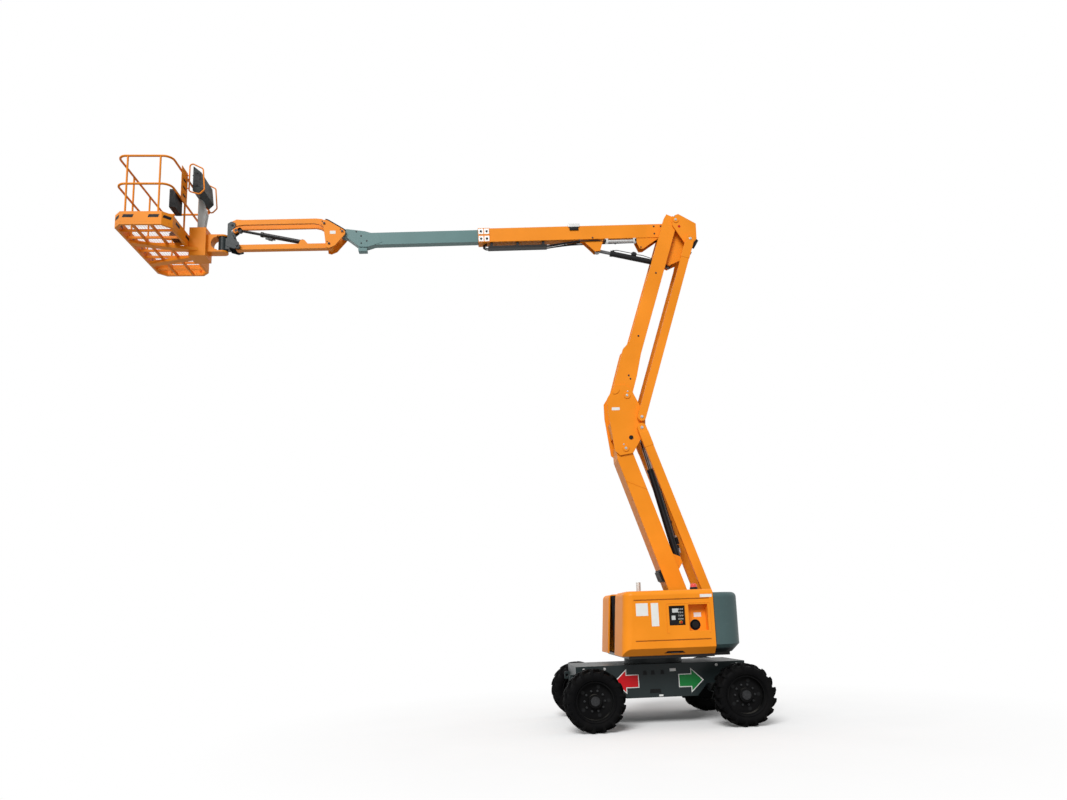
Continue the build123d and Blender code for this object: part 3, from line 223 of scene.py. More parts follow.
def counterweight_paint():
    """Grey-green enamel with a cast grain, darker below the chamfer."""
    finish = Finish("counterweight_paint")
    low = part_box("counterweight")[0]
    skirt = finish.ramp(finish.height(), low.z + 0.075, low.z + 0.045)
    fade = finish.ramp(finish.noise(1.7, 4.0), 0.3, 0.7)
    body = finish.mix(fade, (0.056, 0.094, 0.095, 1), (0.070, 0.116, 0.117, 1))
    body = finish.mix(skirt, body, (0.010, 0.013, 0.014, 1))
    scuff = finish.ramp(finish.noise(31.0, 8.0, 0.65), 0.60, 0.75)
    body = finish.mix(scuff * 0.18, body, (0.20, 0.23, 0.22, 1))
    grain = finish.noise(85.0, 5.0)
    return finish.surface({
        "Base Color": body, "Roughness": 0.38 + 0.16 * fade, "Coat Weight": 0.1,
        "Specular IOR Level": SHEEN,
        "Normal": finish.bump(grain, 0.22, 0.0015, finish.rounded(0.006)),
    })


def plated_rod():
    """Dark hard-plated rod with fine scratches and an oil film."""
    finish = Finish("plated_rod")
    film = finish.ramp(finish.noise(16.0, 5.0), 0.40, 0.70)
    return finish.surface({
        "Base Color": finish.mix(film, (0.17, 0.17, 0.175, 1), (0.09, 0.088, 0.084, 1)), "Metallic": 1.0,
        "Roughness": 0.10 + 0.14 * film, "Normal": finish.bump(finish.noise(600.0, 2.0), 0.05, 0.0003),
    })


def bare_metal(name, colour, rough):
    """Plated or bare steel, blotched darker at random."""
    finish = Finish(name)
    blotch = finish.ramp(finish.noise(42.0, 6.0), 0.35, 0.70)
    duller = tuple(part * 0.62 for part in colour[:3]) + (1,)
    return finish.surface({
        "Base Color": finish.mix(blotch, colour, duller), "Metallic": 0.85,
        "Roughness": rough + 0.18 * blotch,
        "Normal": finish.bump(finish.noise(260.0, 3.0), 0.15, 0.0006, finish.rounded(0.002)),
    })


def tyre_rubber():
    """Rubber with dust in the tread and a fine moulded grain."""
    finish = Finish("tyre_rubber")
    dust = finish.ramp(finish.noise(9.0, 7.0, 0.62), 0.46, 0.74)
    low = finish.ramp(finish.height(), 0.45, 0.0)
    body = finish.mix(dust * (0.25 + 0.35 * low), RUBBER_BLACK, (0.014, 0.013, 0.012, 1))
    return finish.surface({
        "Base Color": body, "Roughness": 0.62 + 0.22 * dust, "Specular IOR Level": RUBBER_SHEEN,
        "Normal": finish.bump(finish.noise(150.0, 4.0), 0.25, 0.0012, finish.rounded(0.004)),
    })


def moulded_plastic(name, colour, rough=0.42):
    """Textured plastic with a stippled skin."""
    finish = Finish(name)
    wear = finish.ramp(finish.noise(21.0, 6.0), 0.40, 0.72)
    greyer = tuple(part * 0.8 + 0.006 for part in colour[:3]) + (1,)
    return finish.surface({
        "Base Color": finish.mix(wear * 0.6, colour, greyer), "Roughness": rough + 0.16 * wear,
        "Specular IOR Level": SHEEN,
        "Normal": finish.bump(finish.noise(420.0, 2.0), 0.22, 0.0006, finish.rounded(0.003)),
    })


def beacon_lens():
    """Red moulded dome with flutes, black where it sits in its foot."""
    finish = Finish("beacon_lens")
    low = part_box("beacon")[0]
    foot = finish.height() < low.z + BEACON_FOOT
    flutes = finish.node("ShaderNodeTexWave", {"bands_direction": "Z"},
                         {"Vector": finish.place, "Scale": 38.0, "Distortion": 0.0})
    body = finish.mix(flutes, (0.62, 0.018, 0.012, 1), (0.74, 0.05, 0.03, 1))
    body = finish.mix(foot, body, SATIN_BLACK)
    return finish.surface({
        "Base Color": body, "Roughness": 0.16 + 0.4 * foot, "Coat Weight": 0.5 - 0.5 * foot,
        "Normal": finish.bump(flutes, 0.25, 0.002),
    })


def label_film():
    """Plain white film, a little yellowed and scuffed."""
    finish = Finish("label_film")
    age = finish.ramp(finish.noise(13.0, 6.0), 0.38, 0.72)
    body = finish.mix(age * 0.5, WHITE_FILM, (0.70, 0.68, 0.60, 1))
    return finish.surface({"Base Color": body, "Roughness": 0.34 + 0.2 * age, "Coat Weight": 0.2,
                           "Normal": finish.bump(finish.noise(180.0, 2.0), 0.05, 0.0004)})


FINISH = {
    "orange": machine_paint("orange_enamel", ORANGE, WORN_PAINT),
    "grey": machine_paint("grey_green_enamel", GREY_GREEN, (0.22, 0.23, 0.22, 1), gloss=0.36, coat=0.25),
    "chassis": machine_paint("chassis_enamel", CHASSIS_GREY, (0.13, 0.12, 0.11, 1), gloss=0.40, coat=0.2),
    "black": machine_paint("black_enamel", SATIN_BLACK, (0.10, 0.095, 0.09, 1), gloss=0.36, coat=0.2),
    "pale_grey": machine_paint("pale_grey_enamel", PALE_GREY, (0.20, 0.20, 0.19, 1), gloss=0.40, coat=0.2),
    "rim": machine_paint("rim_enamel", RIM_BLACK, (0.02, 0.019, 0.018, 1), gloss=0.50, coat=0.0,
                         sheen=RUBBER_SHEEN),
    # Painted shade laid in the hood grooves
    "groove": machine_paint("groove_shade_enamel", GROOVE_SHADE, WORN_PAINT),
    "hose": moulded_plastic("hose_rubber", (0.010, 0.010, 0.011, 1), 0.50),
    "weight": counterweight_paint(),
    "rod": plated_rod(),
    "steel": bare_metal("zinc_steel", (0.56, 0.56, 0.55, 1), 0.30),
    "dark_steel": bare_metal("dark_steel", (0.042, 0.043, 0.045, 1), 0.42),
    "pale_steel": bare_metal("pale_pipe", (0.74, 0.72, 0.68, 1), 0.42),
    "engine": bare_metal("cast_engine", (0.20, 0.21, 0.21, 1), 0.55),
    "rubber": tyre_rubber(),
    "plastic": moulded_plastic("black_plastic", (0.008, 0.0085, 0.009, 1)),
    "grey_plastic": moulded_plastic("grey_plastic", (0.022, 0.029, 0.028, 1)),
    "beacon": beacon_lens(),
    "label": label_film(),
    "arrow_red": machine_paint("arrow_red_film", ARROW_RED, (0.30, 0.05, 0.05, 1), gloss=0.40, coat=0.15),
    "arrow_green": machine_paint("arrow_green_film", ARROW_GREEN, (0.05, 0.20, 0.08, 1), gloss=0.40,
                                 coat=0.15),
    "signal_red": moulded_plastic("signal_red", (0.55, 0.012, 0.012, 1), 0.30),
    "signal_yellow": moulded_plastic("signal_yellow", (0.80, 0.50, 0.02, 1), 0.34),
    "lens": moulded_plastic("pale_lens", (0.60, 0.62, 0.62, 1), 0.12),
}

NODE_FINISH = {
    "orange": ["turret_uprights", "hood_left", "hood_right", "lower_arm", "lower_links", "knee_plates",
               "knee_tie", "upper_arms", "upper_links", "head_plates", "head_core", "boom_outer",
               "jib_bracket", "jib_arm_upper", "jib_arm_lower", "platform_bracket", "platform_floor",
               "toe_boards", "platform_top_rail", "platform_mid_rail", "platform_posts", "console_guards"],
    "grey": ["boom_inner"],
    "pale_grey": ["console_stand"],
    "chassis": ["chassis_frame", "slew_ring", "front_axle", "rear_axle", "knuckle_left", "knuckle_right",
                "jib_head"],
    "black": ["turret_frame", "hose_tray", "arm_cylinder_barrel", "lift_cylinder_barrel",
              "jib_cylinder_barrel", "jib_cylinder_rod"],
    "rim": ["rim_front_left", "rim_front_right", "rim_rear_left", "rim_rear_right"],
    "weight": ["counterweight"],
    "rod": ["arm_cylinder_rod", "lift_cylinder_rod"],
    "steel": ["levelling_cylinder", "boom_lamp"],
    "pale_steel": ["exhaust"],
    "engine": ["engine_block"],
    "plastic": ["fuel_tank", "ground_controls", "document_box", "foot_switch"],
    "grey_plastic": ["control_console"],
    "beacon": ["beacon"],
    "rubber": ["tyre_front_left", "tyre_front_right", "tyre_rear_left", "tyre_rear_right"],
}


def dress_nodes():
    """Gives every CAD node its finish."""
    for finish, nodes in NODE_FINISH.items():
        for node in nodes:
            slots = frame["nodes"][node].data.materials
            slots.clear()
            slots.append(FINISH[finish])


def piece(shape, name, finish, body, bevel=0.0, smooth=None):
    """Makes a piece of the machine from a bmesh and sets it on its body."""
    bmesh.ops.recalc_face_normals(shape, faces=shape.faces)
    mesh = bpy.data.meshes.new(name)
    shape.to_mesh(mesh)
    shape.free()
    mesh.materials.append(FINISH[finish])
    made = bpy.data.objects.new(name, mesh)
    bpy.context.scene.collection.objects.link(made)
    if bevel:
        edge = made.modifiers.new("edge", "BEVEL")
        edge.width = bevel
        edge.segments = 2
        edge.limit_method = "ANGLE"
        edge.angle_limit = radians(40)
    if smooth:
        mesh.shade_smooth()
        mesh.set_sharp_from_angle(angle=radians(smooth))
    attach(made, body)
    return made


def add_block(shape, centre, size, turn=None):
    """A box with this middle and size."""
    place = Matrix.Translation(centre)
    if turn:
        place = place @ turn
    bmesh.ops.create_cube(shape, size=1.0, matrix=place @ Matrix.Diagonal((*size, 1)))


def add_bar(shape, start, end, radius, sides=16, end_radius=None):
    """A round bar, or a cone if it has an end radius, between two points."""
    start, end = Vector(start), Vector(end)
    reach = end - start
    place = Matrix.Translation((start + end) / 2) @ reach.to_track_quat("Z", "Y").to_matrix().to_4x4()
    tip = radius if end_radius is None else end_radius
    bmesh.ops.create_cone(shape, cap_ends=True, segments=sides, radius1=radius, radius2=tip,
                          depth=reach.length, matrix=place)


def add_tube(shape, path, radius, sides=12):
    """A round tube along a path of points, with mitred corners and closed ends."""
    path = [Vector(point) for point in path]
    rings = []
    normal = None
    for i, point in enumerate(path):
        before = (point - path[i - 1]).normalized() if i else (path[1] - point).normalized()
        after = (path[i + 1] - point).normalized() if i + 1 < len(path) else before
        way = (before + after).normalized()
        if normal is None:
            normal = way.orthogonal().normalized()
        normal = (normal - way * normal.dot(way)).normalized()
        across = way.cross(normal)
        ring = []
        for k in range(sides):
            turn = 2 * pi * k / sides
            ring.append(shape.verts.new(point + (normal * cos(turn) + across * sin(turn)) * radius))
        rings.append(ring)
    for ring, following in zip(rings, rings[1:]):
        for k in range(sides):
            shape.faces.new((ring[k], ring[(k + 1) % sides], following[(k + 1) % sides], following[k]))
    shape.faces.new(list(reversed(rings[0])))
    shape.faces.new(rings[-1])


def rounded_path(corners, radius, steps=5):
    """The corners joined by straight runs and arcs of about this radius."""
    corners = [Vector(corner) for corner in corners]
    path = [corners[0]]
    for before, corner, after in zip(corners, corners[1:], corners[2:]):
        to_before = (before - corner).normalized()
        to_after = (after - corner).normalized()
        room = min(radius, (before - corner).length * 0.49, (after - corner).length * 0.49)
        for step in range(steps + 1):
            share = step / steps
            first = corner + to_before * room * (1 - share)
            second = corner + to_after * room * share
            path.append(first.lerp(second, share))
    path.append(corners[-1])
    return path


def add_plate(shape, outline, place, thickness):
    """A flat plate with this outline in the place's own x and y, standing out along its z."""
    low = [shape.verts.new(place @ Vector((x, y, 0))) for x, y in outline]
    high = [shape.verts.new(place @ Vector((x, y, thickness))) for x, y in outline]
    shape.faces.new(list(reversed(low)))
    shape.faces.new(high)
    count = len(outline)
    for i in range(count):
        shape.faces.new((low[i], low[(i + 1) % count], high[(i + 1) % count], high[i]))


def side_place(x, z, y, turn=0.0):
    """A place on a side face: x runs back on the left side and forward on the right, y up and z outwards."""
    outward = 1 if y > 0 else -1
    across = Vector((-outward, 0, 0))
    up = Vector((0, 0, 1))
    out = Vector((0, outward, 0))
    base = Matrix((across, up, out)).transposed().to_4x4()
    return Matrix.Translation((x, y, z)) @ base @ Matrix.Rotation(turn, 4, "Z")


def add_bolt(shape, place, radius, height, washer=1.45):
    """A hexagon head on a washer, standing out along the place's z."""
    foot = place @ Vector((0, 0, -0.001))
    seat = place @ Vector((0, 0, height * 0.25))
    top = place @ Vector((0, 0, height))
    add_bar(shape, foot, seat, radius * washer, 18)
    add_bar(shape, seat, top, radius, 6)


def rectangle(wide, tall, x=0.0, y=0.0):
    """Corners of a rectangle about this middle."""
    return [(x - wide / 2, y - tall / 2), (x + wide / 2, y - tall / 2), (x + wide / 2, y + tall / 2),
            (x - wide / 2, y + tall / 2)]


def add_stud(shape, place, low, high, radius, sides=16, end_radius=None):
    """A round stud along the place's z, from one height to another."""
    add_bar(shape, place @ Vector((0, 0, low)), place @ Vector((0, 0, high)), radius, sides, end_radius)


def plate_piece(name, finish, body, outline, place, thickness=FILM):
    """A piece that is one flat plate on a face."""
    shape = bmesh.new()
    add_plate(shape, outline, place, thickness)
    piece(shape, name, finish, body)


class Member:
    """An arm, link, boom or cylinder in side view, running from a pin."""

    def __init__(self, pin, way):
        self.pin = pin
        self.way = Vector((way.x, 0, way.z)).normalized()
        self.square = Vector((-self.way.z, 0, self.way.x))

    def at(self, fore, up, y):
        """A point along the member, square to it in side view, and out from the middle plane."""
        place = self.pin + self.way * fore + self.square * up
        return Vector((place.x, y, place.z))

    def side(self, y, fore=0.0, up=0.0):
        """A place on a side face: its x runs along the member, its y square to it and its z outwards."""
        out = Vector((0, 1 if y > 0 else -1, 0))
        turned = Matrix((self.way, self.square, out)).transposed().to_4x4()
        return Matrix.Translation(self.at(fore, up, y)) @ turned

    def frame(self):
        """The turn from the machine's axes to the member's: x along it, y across and z square to it."""
        return Matrix((self.way, Vector((0, 1, 0)), self.square)).transposed().to_4x4()


def member_blocks(member, boxes):
    """Boxes on a member, each by its middle and its size in the member's own directions."""
    shape = bmesh.new()
    for middle, size in boxes:
        add_block(shape, member.at(*middle), size, member.frame())
    return shape


LOWER_WAY = PIN["knee_level"] - PIN["arms_raise"]
UPPER_WAY = PIN["head_level"] - PIN["upper_arm_turn"]
LOWER_ARM = Member(PIN["arms_raise"], LOWER_WAY)
LOWER_LINK = Member(PIN["lower_link_turn"], LOWER_WAY)
UPPER_ARM = Member(PIN["upper_arm_turn"], UPPER_WAY)
UPPER_LINK = Member(PIN["upper_link_turn"], UPPER_WAY)
BOOM = Member(PIN["boom_raise"], WAY["telescope"])
ARM_CYLINDER = Member(PIN["arm_barrel_swing"], WAY["arm_rod_slide"])
LIFT_CYLINDER = Member(PIN["lift_barrel_swing"], WAY["lift_rod_slide"])
JIB_CYLINDER = Member(PIN["jib_barrel_swing"], WAY["jib_rod_slide"])
SIDE_VIEW = Member(Vector((0, 0, 0)), Vector((1, 0, 0)))
SIDES = (("left", 1), ("right", -1))


# Tyres and wheels

TYRE_LUGS = 17
LUG_HEIGHT = 0.034
LUG_SWEEP = 0.27
TYRE_STEPS = 102
BEAD_RADIUS = 0.2623
SIDE_RINGS = ((0.285, 0.004), (0.322, 0.003))
RING_STEPS = 72
DISC_FACE = 1.035
NUTS = 10
NUT_CIRCLE = 0.140
CAP_BOLTS = 6
CAP_CIRCLE = 0.050
DISC_HOLES = 5
HOLE_CIRCLE = 0.198


def tyre_profile(radius, half):
    """Half section of the carcass, from the bead to the crown: radius and distance from the middle."""
    bead = BEAD_RADIUS
    return [(bead, half * 0.79), (bead + 0.012, half * 0.88), (bead + 0.030, half * 0.93),
            (bead + 0.055, half * 0.975), (bead + 0.085, half * 0.99), (radius - 0.070, half * 0.97),
            (radius - 0.048, half * 0.90), (radius - 0.038, half * 0.70), (radius - LUG_HEIGHT, half * 0.35),
            (radius - LUG_HEIGHT, 0.0)]


def round_point(centre, radius, y, turn):
    return Vector((centre.x + radius * cos(turn), centre.y + y, centre.z + radius * sin(turn)))


def add_carcass(shape, centre, radius, half):
    profile = tyre_profile(radius, half)
    section = profile + [(r, -y) for r, y in reversed(profile[:-1])]
    rings = []
    for step in range(TYRE_STEPS):
        turn = 2 * pi * step / TYRE_STEPS
        rings.append([shape.verts.new(round_point(centre, r, y, turn)) for r, y in section])
    count = len(section)
    for step in range(TYRE_STEPS):
        ring, following = rings[step], rings[(step + 1) % TYRE_STEPS]
        for k in range(count):
            after = (k + 1) % count
            shape.faces.new((ring[k], ring[after], following[after], following[k]))


def add_lug(shape, centre, radius, half, turn, side):
    """One chunky lug: from low on the shoulder, over it, and slanting back to the middle of the crown."""
    stations = [
        (radius - 0.098, radius - 0.085, 1.00, 0.00, 0.030),
        (radius - 0.064, radius - 0.046, 1.00, 0.00, 0.038),
        (radius - 0.052, radius - 0.012, 0.93, 0.01, 0.042), (radius - 0.045, radius, 0.80, 0.05, 0.042),
        (radius - 0.042, radius, 0.45, 0.55, 0.040), (radius - 0.042, radius, 0.10, 0.92, 0.046),
        (radius - 0.042, radius - 0.002, -0.10, 1.00, 0.040),
    ]
    rings = []
    for floor, tip, across, swept, wide in stations:
        y = side * half * across
        middle = turn + LUG_SWEEP * swept
        foot = wide * 1.25 / radius / 2
        head = wide / radius / 2
        proud = side * half * 0.012
        rings.append([
            shape.verts.new(round_point(centre, floor, y - proud, middle - foot)),
            shape.verts.new(round_point(centre, tip, y, middle - head)),
            shape.verts.new(round_point(centre, tip, y, middle + head)),
            shape.verts.new(round_point(centre, floor, y - proud, middle + foot)),
        ])
    for ring, following in zip(rings, rings[1:]):
        for k in range(4):
            shape.faces.new((ring[k], ring[(k + 1) % 4], following[(k + 1) % 4], following[k]))
    shape.faces.new(list(reversed(rings[0])))
    shape.faces.new(rings[-1])


def lugged_tyre(end, side_name):
    """Rough-terrain tyre in place of the plain solid."""
    node = f"tyre_{end}_{side_name}"
    low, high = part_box(node)
    centre = (low + high) / 2
    radius = (high.z - low.z) / 2
    half = (high.y - low.y) / 2
    shape = bmesh.new()
    add_carcass(shape, centre, radius, half)
    for i in range(TYRE_LUGS):
        pitch = 2 * pi / TYRE_LUGS
        add_lug(shape, centre, radius, half, i * pitch, 1)
        add_lug(shape, centre, radius, half, (i + 0.5) * pitch, -1)
    turns = [2 * pi * k / RING_STEPS for k in range(RING_STEPS + 1)]
    for ring_radius, width in SIDE_RINGS:
        for face in (1, -1):
            path = [round_point(centre, ring_radius, face * half * 0.955, turn) for turn in turns]
            add_tube(shape, path, width, 6)
    made = piece(shape, f"lugged_{node}", "rubber", f"wheel_{end}_{side_name}", smooth=35)
    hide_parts(node)


def wheel_nuts(end, side_name, side):
    """Wheel nuts, hub cap and black discs painted as the shade in each hand hole, on the outer face of the
    disc.
    """
    low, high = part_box(f"rim_{end}_{side_name}")
    centre = (low + high) / 2
    body = f"wheel_{end}_{side_name}"

    def spots(count, circle, y, shift=0.0):
        turns = [2 * pi * (k + shift) / count for k in range(count)]
        return [Vector((centre.x + circle * cos(turn), y, centre.z + circle * sin(turn))) for turn in turns]

    def out(distance):
        return Vector((0, side * distance, 0))

    shape = bmesh.new()
    for spot in spots(NUTS, NUT_CIRCLE, side * DISC_FACE):
        add_bar(shape, spot, spot + out(0.020), 0.017, 6)
        add_bar(shape, spot, spot + out(0.032), 0.009, 10)
    reach = high.y if side > 0 else low.y
    cap = Vector((centre.x, reach, centre.z))
    add_bar(shape, cap - out(0.004), cap + out(0.012), 0.070, 32, 0.062)
    for spot in spots(CAP_BOLTS, CAP_CIRCLE, reach + side * 0.010):
        add_bar(shape, spot, spot + out(0.010), 0.007, 6)
    piece(shape, f"wheel_nuts_{end}_{side_name}", "dark_steel", body, smooth=30)
    # Black discs: painted shade in the hand hole of the disc
    hole_shade_discs = bmesh.new()
    for spot in spots(DISC_HOLES, HOLE_CIRCLE, side * DISC_FACE, 0.5):
        add_bar(hole_shade_discs, spot - out(0.002), spot + out(0.001), 0.026, 24)
    piece(hole_shade_discs, f"disc_hole_shade_{end}_{side_name}", "plastic", body)


def make_wheels():
    for end in ("front", "rear"):
        for side_name, side in SIDES:
            lugged_tyre(end, side_name)
            wheel_nuts(end, side_name, side)


# Base: direction arrows and the fittings of the frame

ARROW_LENGTH = 0.335
ARROW_HALF = 0.150
ARROW_SHAFT = 0.082
ARROW_HEAD = 0.155
ARROW_BORDER = 0.012
ARROW_FILM = 0.0022
TIP_GROWTH = 1.9
BARB_GROWTH = 2.2
POCKET_TAPER = 0.012
# Black sheets as painted shade of the frame's openings: x, z, width and height
POCKET_SHADES = ((0.095, 0.480, 0.170, 0.058), (0.235, 0.742, 0.062, 0.060), (0.120, 0.742, 0.062, 0.060),
           (-0.020, 0.742, 0.062, 0.060))
BLANK_PLATES = ((-0.175, 0.768, 0.090, 0.040), (0.015, 0.415, 0.060, 0.026))


def arrow_outline(way, grow):
    """A block arrow about its middle, drawn out by this much all round."""
    tip = ARROW_LENGTH / 2 + grow * TIP_GROWTH
    neck = ARROW_LENGTH / 2 - ARROW_HEAD - grow
    tail = -ARROW_LENGTH / 2 - grow
    barb = ARROW_HALF + grow * BARB_GROWTH * ARROW_HALF / ARROW_HEAD
    shaft = ARROW_SHAFT + grow
    points = [(tip, 0), (neck, barb), (neck, shaft), (tail, shaft), (tail, -shaft), (neck, -shaft),
              (neck, -barb)]
    return [(x * way, y) for x, y in points]


def make_arrows():
    """A red arrow to the front and a green one to the rear on each side of the frame, edged in white."""
    for side_name, side in SIDES:
        for colour, x, z, way in (("red", 0.507, 0.628, -side), ("green", -0.432, 0.612, side)):
            place = side_place(x, z, side * FRAME_FACE)
            plate_piece(f"arrow_border_{colour}_{side_name}", "label", "chassis",
                        arrow_outline(way, ARROW_BORDER), place)
            plate_piece(f"arrow_{colour}_{side_name}", f"arrow_{colour}", "chassis",
                        arrow_outline(way, 0.0), place, ARROW_FILM)


def make_base_fittings():
    """Black sheets painted as the shade of the frame's pocket openings, blank plates and bolts on the sides
    of the frame.
    """
    for side_name, side in SIDES:
        face = side * FRAME_FACE
        # Painted shade: black sheets where the frame has openings
        pocket_shade_sheets = bmesh.new()
        for x, z, wide, tall in POCKET_SHADES:
            half, rise = wide / 2, tall / 2
            narrow = half - POCKET_TAPER
            outline = [(-half, -rise), (half, -rise), (narrow, rise), (-narrow, rise)]
            add_plate(pocket_shade_sheets, outline, side_place(x, z, face), INSERT)
        piece(pocket_shade_sheets, f"frame_pocket_shade_{side_name}", "plastic", "chassis")
        plates = bmesh.new()
        for x, z, wide, tall in BLANK_PLATES:
            add_plate(plates, rectangle(wide, tall), side_place(x, z, face), INSERT)
        piece(plates, f"frame_plates_{side_name}", "label", "chassis")
        bolts = bmesh.new()
        for x in (-1.12, -0.82, 0.82, 1.12):
            for z in (0.605, 0.815):
                add_bolt(bolts, side_place(x, z, face), 0.014, 0.016)
        piece(bolts, f"frame_bolts_{side_name}", "steel", "chassis")


# Turret: hood fittings, ground controls, filler and beacon

HOOD_FILMS = ((0.330, 1.640, 0.170, 0.175), (0.150, 1.565, 0.105, 0.320), (-0.590, 1.806, 0.170, 0.042))
PANEL_X = -0.164
PANEL_Z = 1.542
STOP_SIDES = 28


def add_frame_ring(shape, place, wide, tall, band, thickness):
    """A rectangular bezel."""
    rise, run = (tall - band) / 2, (wide - band) / 2
    for x, y, w, h in ((0, rise, wide, band), (0, -rise, wide, band), (run, 0, band, tall - 2 * band),
                       (-run, 0, band, tall - 2 * band)):
        add_plate(shape, rectangle(w, h, x, y), place, thickness)


def make_labels():
    """Blank films on the left hood."""
    films = bmesh.new()
    for x, z, wide, tall in HOOD_FILMS:
        add_plate(films, rectangle(wide, tall), side_place(x, z, HOOD_FACE), FILM)
    piece(films, "hood_films", "label", "hood_left")


def make_ground_controls():
    """Face of the lower control box: bezel, displays, rows of switches and the stop button."""
    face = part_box("ground_controls")[1].y
    bezel = bmesh.new()
    add_frame_ring(bezel, side_place(PANEL_X, PANEL_Z, face), 0.215, 0.258, 0.012, 0.014)
    piece(bezel, "control_bezel", "plastic", "turret", bevel=0.002)
    display = bmesh.new()
    add_plate(display, rectangle(0.084, 0.056, -0.020), side_place(PANEL_X, PANEL_Z + 0.070, face), 0.006)
    add_plate(display, rectangle(0.055, 0.060, -0.0475), side_place(PANEL_X, PANEL_Z - 0.030, face), 0.004)
    piece(display, "control_display", "lens", "turret", bevel=0.001)
    switches = bmesh.new()
    for row in range(4):
        for column in range(3):
            spot = side_place(PANEL_X - 0.030 - column * 0.026, PANEL_Z + 0.085 - row * 0.045, face)
            add_stud(switches, spot, -0.001, 0.008, 0.009)
            add_bar(switches, spot @ Vector((0, 0, 0.006)), spot @ Vector((0, 0.010, 0.030)), 0.004, 10)
    piece(switches, "control_switches", "steel", "turret", smooth=30)
    spot = side_place(PANEL_X - 0.055, PANEL_Z - 0.095, face)
    collar = bmesh.new()
    add_stud(collar, spot, -0.001, 0.008, 0.024, STOP_SIDES)
    piece(collar, "stop_collar", "signal_yellow", "turret", smooth=30)
    knob = bmesh.new()
    add_stud(knob, spot, 0.008, 0.022, 0.009)
    add_stud(knob, spot, 0.020, 0.032, 0.019, STOP_SIDES, 0.016)
    piece(knob, "stop_button", "signal_red", "turret", smooth=30)


FILLER_X = -0.445
FILLER_Z = 1.405
CAP_GRIPS = 12
GRIP_CIRCLE = 0.050
ALCOVE_BACK = 0.950
LATCH_X = -0.115
LATCH_DOWN = 0.082
GROOVES = (1.770, 1.207)
GROOVE_REAR = -0.628
GROOVE_FRONT = 0.438
SKIRT_LOW = 1.0006
SKIRT_RISE = 0.100


def add_ring(shape, place, radius, wire, sides=40):
    """A round bead about the place's z."""
    turns = [2 * pi * k / sides for k in range(sides + 1)]
    path = [place @ Vector((radius * cos(turn), radius * sin(turn), 0)) for turn in turns]
    add_tube(shape, path, wire, 8)


def skirt_place(side, x, down):
    """A place on the slanted skirt of a hood, this far down from its upper edge; z points out of it."""
    out = Vector((0, side, -1)).normalized()
    along = Vector((1, 0, 0))
    up = out.cross(along)
    drop = down / 2 ** 0.5
    corner = Vector((x, side * (HOOD_FACE - drop), SKIRT_LOW + SKIRT_RISE - drop))
    return Matrix.Translation(corner) @ Matrix((along, up, out)).transposed().to_4x4()


def make_hood_fittings():
    """Latch of each hood with a black sheet as painted shade of its recess, dark orange strips as painted
    shade in the grooves, bead and film of the controls' alcove, and the filler.
    """
    for side_name, side in SIDES:
        place = skirt_place(side, LATCH_X, LATCH_DOWN)
        half = side * 0.020
        # Black sheet on the skirt, painted as the shade of the latch's recess
        plate_piece(f"latch_recess_shade_{side_name}", "plastic", f"hood_{side_name}",
                    [(-0.150, half), (0.150, half), (0.105, -half), (-0.105, -half)], place, INSERT)
        latch = bmesh.new()
        for x in (-0.050, 0.050):
            add_stud(latch, place @ Matrix.Translation((x, 0, 0)), 0.001, 0.014, 0.006, 12)
        add_tube(latch, [place @ Vector((x, 0, 0.014)) for x in (-0.062, 0.0, 0.062)], 0.006, 10)
        add_stud(latch, place @ Matrix.Translation((0.085, 0, 0)), 0.001, 0.008, 0.011, 18)
        piece(latch, f"hood_latch_{side_name}", "dark_steel", f"hood_{side_name}", smooth=30)
        # Dark orange strips in the grooves, as painted shade
        groove_shade_bars = bmesh.new()
        for z in GROOVES:
            middle = Vector(((GROOVE_REAR + GROOVE_FRONT) / 2, side * (HOOD_FACE - 0.005), z))
            add_block(groove_shade_bars, middle, (GROOVE_FRONT - GROOVE_REAR, 0.004, 0.008))
        piece(groove_shade_bars, f"groove_shade_strips_{side_name}", "groove", f"hood_{side_name}")
    bead = bmesh.new()
    corners = [(-0.010, 1.300), (-0.640, 1.300), (-0.640, 1.712), (-0.010, 1.712)]
    outline = rounded_path([(x, HOOD_FACE, z) for x, z in corners + corners[:2]], 0.035)
    add_tube(bead, outline[1:-1], 0.0045, 8)
    piece(bead, "panel_bead", "orange", "hood_left", smooth=40)
    plate_piece("alcove_film", "label", "hood_left", rectangle(0.105, 0.062),
                side_place(-0.485, 1.545, ALCOVE_BACK))
    mouth = side_place(FILLER_X, FILLER_Z, ALCOVE_BACK)
    cup = bmesh.new()
    add_ring(cup, mouth, 0.069, 0.007)
    piece(cup, "filler_ring", "plastic", "hood_left", smooth=40)
    cap = bmesh.new()
    add_stud(cap, mouth, -0.012, 0.022, 0.052, 36, 0.048)
    for k in range(CAP_GRIPS):
        turn = 2 * pi * k / CAP_GRIPS
        grip = mouth @ Vector((GRIP_CIRCLE * cos(turn), GRIP_CIRCLE * sin(turn), -0.010))
        add_bar(cap, grip, grip + Vector((0, 0.030, 0)), 0.006, 8)
    piece(cap, "filler_cap", "plastic", "turret", smooth=35)


BEACON_SIDES = 40
DOME_STEPS = 6
FOOT_RIM = 0.030
DOME_FOOT = 0.040
DOME_SHOULDER = 0.076
DOME_CROWN = 0.104


